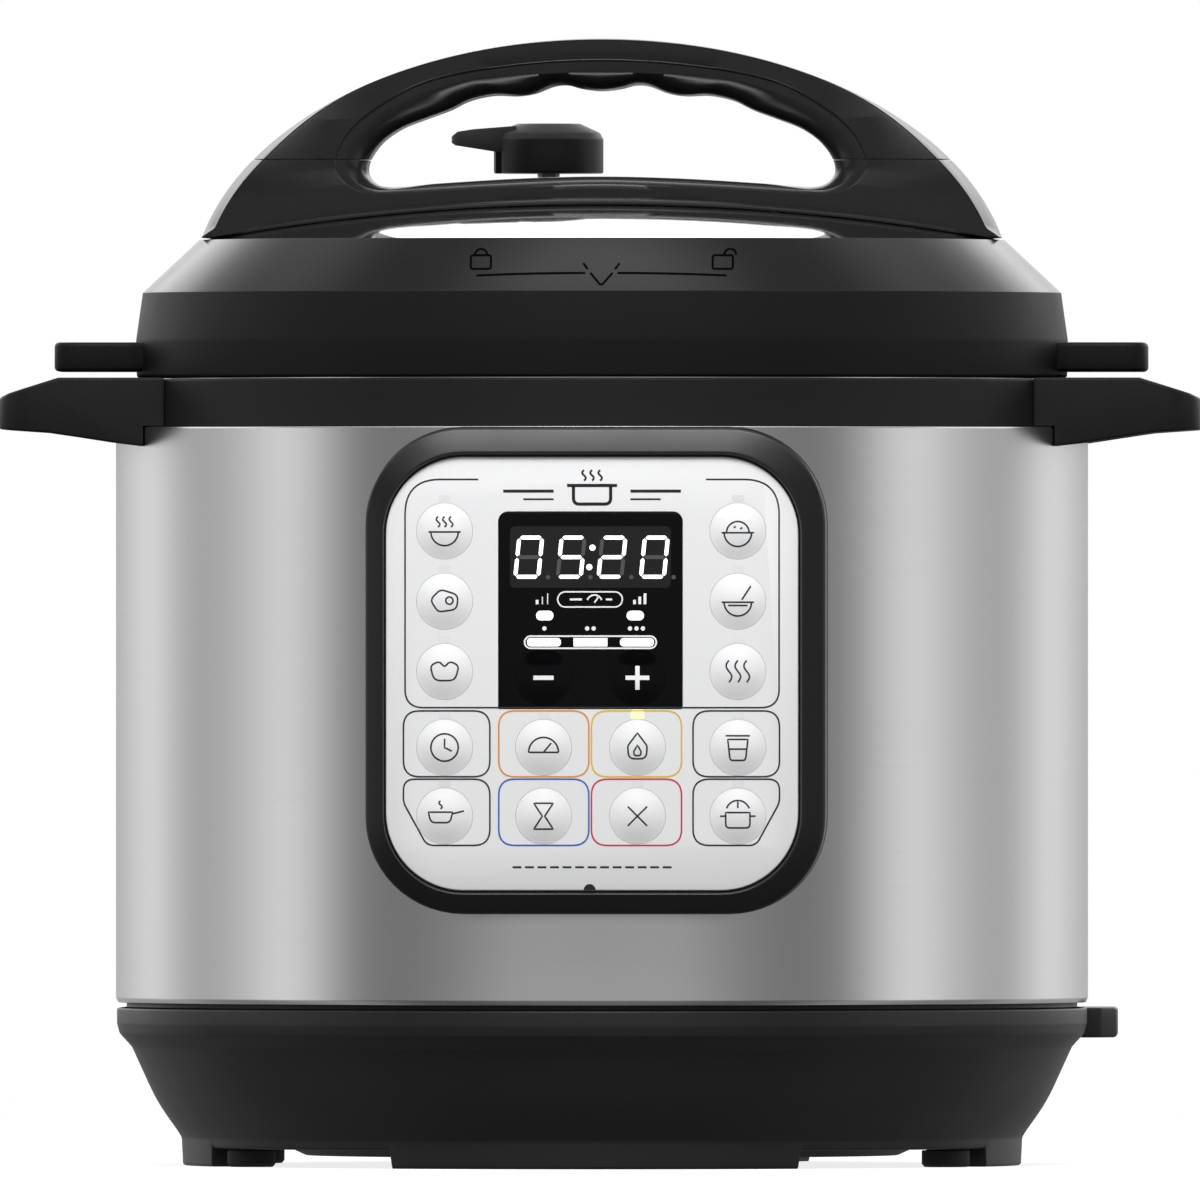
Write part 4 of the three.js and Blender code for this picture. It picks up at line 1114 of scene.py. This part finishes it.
def splined(knots, steps=6):
    """A smooth half outline through its knots, level where it crosses X = 0."""
    points = [Vector(knot) for knot in knots]
    ends = [Vector((-points[1].x, points[1].y)), *points, Vector((-points[-2].x, points[-2].y))]
    path = []
    for a, b, c, d in zip(ends, ends[1:], ends[2:], ends[3:]):
        for t in (k / steps for k in range(steps)):
            bend, twist = 2 * a - 5 * b + 4 * c - d, 3 * b - a - 3 * c + d
            path.append(tuple(0.5 * (2 * b + (c - a) * t + bend * t * t + twist * t ** 3)))
    return path + [tuple(points[-1])]


def polar(path):
    """A half outline as (bearing from the top, distance) round the window's centre."""
    spokes = []
    for point in path:
        away = Vector(point) - WINDOW_CENTRE
        spokes.append((atan2(away.x, away.y), away.length))
    return spokes


def spoke_point(spokes, bearing):
    """Where a spoke from the window's centre crosses the outline: (x, z)."""
    aim = abs(bearing)
    for (a0, r0), (a1, r1) in zip(spokes, spokes[1:]):
        if aim <= a1 + TINY:
            sine = sin(a1 - a0)
            across = r0 * sin(aim - a0) + r1 * sin(a1 - aim)
            length = r0 * r1 * sine / across if sine > TINY else r0
            point = WINDOW_CENTRE + Vector((sin(aim), cos(aim))) * length
            return Vector((copysign(point.x, bearing), point.y))
    return WINDOW_CENTRE + Vector((0, -spokes[-1][1]))


def smooth_step(value, low, high):
    t = min(max((value - low) / (high - low), 0), 1)
    return t * t * (3 - 2 * t)


def handle_depth(z):
    """Half the handle's thickness at a height."""
    return THICK + (THIN - THICK) * smooth_step(z, 240, 274)


def seat_height(x, y):
    return dome_height(min(hypot(x, y), DOME_REACH))


def handle_section(outlines, bearing):
    """One cross-section, from the crown of the outer face to the window and back round."""
    outer, lip, hollow, window = (spoke_point(spokes, bearing) for spokes in outlines)
    level = smooth_step(outer.y - seat_height(outer.x, 0), 2.5, 0.4)
    crown = FOOT_CROWN + (TOP_CROWN - FOOT_CROWN) * smooth_step(outer.y, 250, 271)
    crown = crown * (1 - level) + SEAT_CROWN * level
    inward = (lip - outer).normalized()
    width = (lip - outer).length
    crown = min(crown, width * 0.4)
    depth = handle_depth(outer.y)
    rows = []  # place in the section, and how far behind the handle's face
    for k in range(CURVE_STEPS + 1):
        swing = CROWN_SWING * k / CURVE_STEPS
        away = crown * (1 - cos(swing)) / (1 - cos(CROWN_SWING))
        rows.append((outer + inward * away, depth * (1 - 0.97 * sin(swing) / sin(CROWN_SWING))))
    edge, groove = min(0.5, width * 0.1), min(0.8, 0.08 * width)
    for away, back in (
        (crown + 0.05, groove), (crown + edge, groove), (crown + edge + 0.08, 0.05), (crown + 2 * edge, 0),
    ):
        rows.append((outer + inward * away, back))
    rows += [(lip + (outer - lip).normalized() * edge, 0), (lip, 0.2)]
    rows += [(lip.lerp(hollow, 0.12), 0.6), (lip.lerp(hollow, 0.9), 0.7)]
    sink = SINK * (1 - level) + SEAT_SINK * level
    for k in range(CURVE_STEPS + 1):
        swing = CREASE + (pi / 2 - CREASE) * k / CURVE_STEPS
        across = (sin(swing) - sin(CREASE)) / (1 - sin(CREASE))
        down = (cos(CREASE) - cos(swing)) / cos(CREASE)
        rows.append((hollow.lerp(window, across), 0.75 + sink * down))
    front = []
    for i, (spot, back) in enumerate(rows):
        face = handle_depth(spot.y) if i > CURVE_STEPS else depth
        front.append((spot.x, back - face, spot.y))
    rear = [(x, -y, z) for x, y, z in front[:0:-1]]
    return [(x, y, max(z, seat_height(x, y) + SEAT_GAP)) for x, y, z in front + rear]


def handle_mesh():
    halves = [handle_outline()] + [splined(knots) for knots in (LIP_KNOTS, HOLLOW_KNOTS, WINDOW_KNOTS)]
    outlines = [polar(half) for half in halves]
    bearings = sorted({round(bearing, 4) for bearing, _ in outlines[0] + outlines[3]})
    spaced = bearings[:1]
    for bearing in bearings[1:]:
        if bearing - spaced[-1] > LEAST_TURN:
            spaced.append(bearing)
    mirrored = (-bearing for bearing in spaced[::-1])
    turns = spaced + [bearing for bearing in mirrored if LEAST_TURN / 2 < -bearing < pi - LEAST_TURN / 2]
    return skin([handle_section(outlines, bearing) for bearing in turns])


def cut_level(mesh, height, keep_above):
    """Closes the mesh off at a height and keeps one side."""
    build = opened(mesh)
    cut = bmesh.ops.bisect_plane(
        build, geom=build.verts[:] + build.edges[:] + build.faces[:], plane_co=(0, 0, height * MM),
        plane_no=(0, 0, 1), dist=WELD, clear_inner=keep_above, clear_outer=not keep_above,
    )
    edges = [item for item in cut["geom_cut"] if isinstance(item, bmesh.types.BMEdge)]
    bmesh.ops.holes_fill(build, edges=edges, sides=0)
    bmesh.ops.recalc_face_normals(build, faces=build.faces)
    return closed_up(build)


def handle_flange(steps=60):
    """The thin flange on which the handle stands, following the dome."""
    rows = ((6, 0.05), (0.25, SEAT_GAP), (0, 0.3), (0.05, 0.75), (0.3, 1.05), (0.75, 1.2), (4, 1.5), (9, 1.7))
    halves = []  # x along the flange and half its width there
    for k in range(steps + 1):
        x = FLANGE_REACH * cos(pi * k / steps)
        halves.append((x, 21 + 12 * (1 - (x / FLANGE_REACH) ** 2)))
    loops = []
    for inset, lift in rows:
        outline = [(x, inset - half) for x, half in halves] + [(x, half - inset) for x, half in halves[::-1]]
        loops.append([(x, y, seat_height(x, y) + lift) for x, y in outline])
    return skin(loops, False)


def add_handle():
    whole = combined(handle_mesh(), [handle_flange()], "UNION")
    lower = cut_level(whole, SPLIT_Z - HANDLE_GAP / 2, False)
    upper = cut_level(whole, SPLIT_Z + HANDLE_GAP / 2, True)
    wells = (cylinder_mesh(2.4, 220, 246.3, (side * SCREW_X, 0), 32) for side in (-1, 1))
    lower = combined(lower, [joined_mesh(*wells)])
    finished("handle_lower", lower, "handle", "lid", "black_plastic", "handle_base", sharp=30)
    finished("handle_upper", upper, "handle", "lid", "black_plastic", "handle_grip", sharp=30)
    for side, word in ((-1, "left"), (1, "right")):
        lathe("screw_" + word, [
            (0, 230.6), (1.6, 230.6), (1.9, 230.2, 0.1), (4.6, 230.4, 0.8), (4.6, 233.1, 0.2),
            (2.1, 233.1, 0.2), (2.1, 245), (1, 246), (0, 246),
        ], "hardware", "lid", "hardware_steel", "handle_screw_" + word, 48, (side * SCREW_X, 0))


# ---- valves
def add_valves():
    steam, drop = (-VALVE_X, VALVE_Y), (VALVE_X, VALVE_Y)
    x, y = steam
    lathe("pipe", [
        (1.5, 226), (3.8, 226, 0.2), (3.8, 239.7), (7, 239.7, 0.2), (7, 241.2, 0.5), (2.8, 241.2, 0.2),
        (2.8, 251), (2.4, 253.5, 0.3), (1.5, 253.5),
    ], "hardware", "lid", "hardware_steel", "steam_pipe", 64, steam)
    hexagon = [(x + 7.6 * cos(tau * k / 6), y + 7.6 * sin(tau * k / 6)) for k in range(6)]
    nut = combined(slab(hexagon, 233.4, 236.4, edge=0.4), [cylinder_mesh(4.05, 230, 240, steam)])
    finished("pipe_nut", nut, "hardware", "lid", "hardware_steel", "steam_pipe_nut")

    cap = lathe_mesh([
        (0, 218), (11, 218, 1.2), (11, 229.4, 0.8), (4.2, 229.4), (4.2, 228.2), (9.8, 228.2, 0.6),
        (9.8, 219.2, 0.8), (0, 219.2),
    ], 96, steam)
    slots = []
    for turn in (tau * (k + 0.5) / 6 for k in range(6)):
        loops = []
        for reach in (8, 14):
            outline = [(*turned([(reach, u)], turn)[0], v) for u, v in circle(1.5)]
            loops.append([(x + u, y + w, 223.6 + 1.5 * v) for u, w, v in outline])
        slots.append(skin(loops, False))
    cap = combined(cap, [joined_mesh(*slots)])
    finished("inlet_guard", cap, "hardware", "lid", "hardware_steel", "anti_block_shield")

    knob = lathe_mesh([
        (0, 254.4), (5.4, 254.4), (5.4, 249, 0.4), (7.8, 248.2, 0.4), (13.75, 248.2, 0.6),
        (13.75, 256.8, 0.6), (12.9, 258.4, 1), (8.4, 260.5, 0.8), (7.6, 260.75, 0.4), (6.9, 260.45, 0.2),
        (0, 260.45),
    ], 96, steam)
    seams = [box_mesh(x - 13.2, x - 11.6, y + near, y + near + 6.5, 247, 254.2) for near in (-9, 2.5)]
    knob = combined(knob, [joined_mesh(*seams)])
    plan = softened([
        (x - 8, y - 7.4), (-33, y - 5.6, 3), (-38.5, y - 5, 4.5), (-38.5, y + 5, 4.5), (-33, y + 5.6, 3),
        (x - 8, y + 7.4),
    ])
    side = slab([
        (x - 7, 253.5), (-27.5, 253.7), (-37.6, 255.3), (-38.6, 256), (-38.6, 257.4), (-36.9, 258.7),
        (-33, 259.3), (-24, 260), (x - 7, 260.2),
    ], y - 12, y + 12, "XZ")
    lever = bevelled(combined(slab(plan, 250, 264), [side], "INTERSECT"), 0.6, 30)
    knob = combined(knob, [lever], "UNION")
    # painted light: the knob's plastic is coloured lighter to make up for the shade the handle casts on it
    finished("steam_knob", knob, "knob", "steam_valve", "black_plastic", "steam_release_handle")

    lathe("float_pin", [
        (0, 221), (3.4, 221, 0.3), (3.4, 222.4), (2.3, 222.8, 0.3), (2.3, 239.6), (4.2, 239.6, 0.3),
        (4.2, 240.8, 0.4), (3.6, 241.3, 0.3), (0, 241.3),
    ], "hardware", "float_valve", "hardware_steel", "float_valve_pin", 48, drop)
    lathe("float_gasket", [
        (2.45, 223.1), (6, 223.1, 0.7), (6, 226.4, 0.7), (2.45, 226.4),
    ], "silicone", "float_valve", "silicone", "float_valve_cap", 64, drop)


# ---- CAD nodes that keep their shape
def finish_kept_nodes():
    kept = {
        "power_board": "board", "control_board": "board", "sensor_spring": "hardware",
        "sensor_bracket": "hardware", "pressure_switch": "case", "thermal_fuse": "silicone",
    }
    for node, finish in kept.items():
        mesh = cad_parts[node].data
        mesh.materials.clear()
        mesh.materials.append(FINISH[finish])


# ---- floor and light
FLOOR_RADIUS, FLOOR_STEPS = 1150, 96


def add_floor():
    rim = [(*p, 0) for p in circle(FLOOR_RADIUS, steps=FLOOR_STEPS)]
    floor = linked("floor", mesh_of(rim, [tuple(range(FLOOR_STEPS))]))
    light = {"Emission_Color": (1, 1, 1, 1), "Emission_Strength": 0.82}
    paper = make_material("floor_paper", (0.3, 0.3, 0.3), 0.8, (20, 3, 0.05), **light)
    floor.data.materials.append(paper)
    floor.visible_glossy = floor.visible_diffuse = False


# brightness seen in the steel wall, by degrees away from the front
STUDIO_RING = (
    (0, 0.36), (20, 0.38), (32, 0.27), (44, 0.19), (54, 0.18), (61, 0.24), (67, 0.44), (75, 0.72), (82, 0.78),
    (94, 0.5), (104, 0.39), (113, 0.38), (121, 0.52), (130, 0.74), (143, 0.56), (158, 0.45), (180, 0.42),
)
# brightness above the horizon, behind the object and ahead of it, by the sine of the elevation
STUDIO_SKY = (
    (0.21, 0), (0.25, 1.2), (0.38, 1.15), (0.46, 0.9), (0.55, 0.62), (0.63, 0.4), (0.72, 0.6), (0.79, 0.5),
    (0.85, 0.05), (0.93, 0.05), (0.97, 0.6), (0.99, 1.5),
)
STUDIO_AHEAD = ((0.45, 0), (0.65, 0.9))
STUDIO_GROUND = ((0.05, 1), (0.4, 0.45), (1, 0.3))  # share of the ring that is left below the horizon
RING_TOP = 0.3  # sine of the elevation at which the ring ends
BACKDROP = (0.75, 0.04, 0.45)  # half turns from the front, then sines of its lowest and highest elevation
BACKDROP_LEVEL, AMBIENT_LEVEL = 0.8, 0.35
SIDE = 0.5  # half turns from the front, where the half ahead of the object meets the half behind
LIGHTS_AIM = Vector((0, 0, 0.14))


def add_studio():
    scene = bpy.context.scene
    scene.view_settings.view_transform = "Standard"
    world = bpy.data.worlds.new("studio")
    scene.world = world
    world.use_nodes = True
    nodes, links = world.node_tree.nodes, world.node_tree.links
    background = nodes["Background"]
    background.inputs["Color"].default_value = (1, 1, 1, 1)

    def maths(operation, *values):
        node = nodes.new("ShaderNodeMath")
        node.operation = operation
        for socket, value in zip(node.inputs, values):
            if isinstance(value, (int, float)):
                socket.default_value = value
            else:
                links.new(value, socket)
        return node.outputs[0]

    def ramp(factor, levels):
        node = nodes.new("ShaderNodeValToRGB")
        links.new(factor, node.inputs["Fac"])
        stops = node.color_ramp.elements
        while len(stops) > 1:
            stops.remove(stops[-1])
        for k, (position, level) in enumerate(levels):
            stop = stops[0] if k == 0 else stops.new(position)
            stop.position = position
            stop.color = (level, level, level, 1)
        return node.outputs["Color"]

    direction = nodes.new("ShaderNodeSeparateXYZ")
    links.new(nodes.new("ShaderNodeTexCoord").outputs["Generated"], direction.inputs["Vector"])
    x, y, z = direction.outputs
    turn = maths("DIVIDE", maths("ABSOLUTE", maths("ARCTAN2", x, maths("MULTIPLY", y, -1.0))), pi)
    ring = ramp(turn, [(angle / 180, level) for angle, level in STUDIO_RING])
    sky = ramp(z, STUDIO_SKY)
    floor = ramp(maths("MULTIPLY", z, -1.0), STUDIO_GROUND)
    level = maths("MULTIPLY", maths("MULTIPLY", ring, floor), maths("LESS_THAN", z, RING_TOP))
    level = maths("ADD", level, maths("MULTIPLY", sky, maths("GREATER_THAN", turn, SIDE)))
    ahead = maths("MULTIPLY", ramp(z, STUDIO_AHEAD), maths("LESS_THAN", turn, SIDE))
    level = maths("ADD", level, ahead)
    start, low, high = BACKDROP
    behind = maths("MULTIPLY", maths("GREATER_THAN", turn, start), maths("LESS_THAN", z, high))
    behind = maths("MULTIPLY", behind, maths("GREATER_THAN", z, low))
    level = maths("ADD", level, maths("MULTIPLY", behind, BACKDROP_LEVEL))
    path = nodes.new("ShaderNodeLightPath")
    glossy = maths("MULTIPLY", path.outputs["Is Glossy Ray"], maths("SUBTRACT", level, AMBIENT_LEVEL))
    other = maths("ADD", glossy, AMBIENT_LEVEL)
    seen = maths("MULTIPLY", path.outputs["Is Camera Ray"], maths("SUBTRACT", 1.0, other))
    links.new(maths("ADD", other, seen), background.inputs["Strength"])


def add_softbox(name, azimuth, elevation, distance, size, radiance, glossy=True):
    """An area light aimed at the object. radiance is the brightness of its face."""
    data = bpy.data.lights.new(name, "AREA")
    data.shape = "RECTANGLE"
    data.size, data.size_y = size
    data.energy = radiance * pi * size[0] * size[1]
    light = linked(name, data)
    turn, rise = radians(azimuth), radians(elevation)
    away = Vector((sin(turn) * cos(rise), -cos(turn) * cos(rise), sin(rise)))
    light.location = LIGHTS_AIM + away * distance
    light.rotation_euler = (-away).to_track_quat("-Z", "Y").to_euler()
    light.visible_camera = False
    light.visible_glossy = glossy


def add_lights():
    add_softbox("front_top", 0, 50, 2.0, (1.2, 0.3), 12.0)
    add_softbox("near_top", 0, 48, 0.8, (0.5, 0.25), 14.0, False)
    add_softbox("overhead", 0, 88, 1.8, (1.6, 1.6), 3.0, False)


add_camera()
FINISH = make_finishes()
add_base()
add_inlet()
add_wall()
add_side_handles()
add_heater()
add_panel_frame()
add_fascia()
add_keys()
add_display()
add_cup()
add_pot()
add_seal()
add_lid()
add_lid_ring()
add_handle()
add_valves()
finish_kept_nodes()
add_floor()
add_studio()
add_lights()
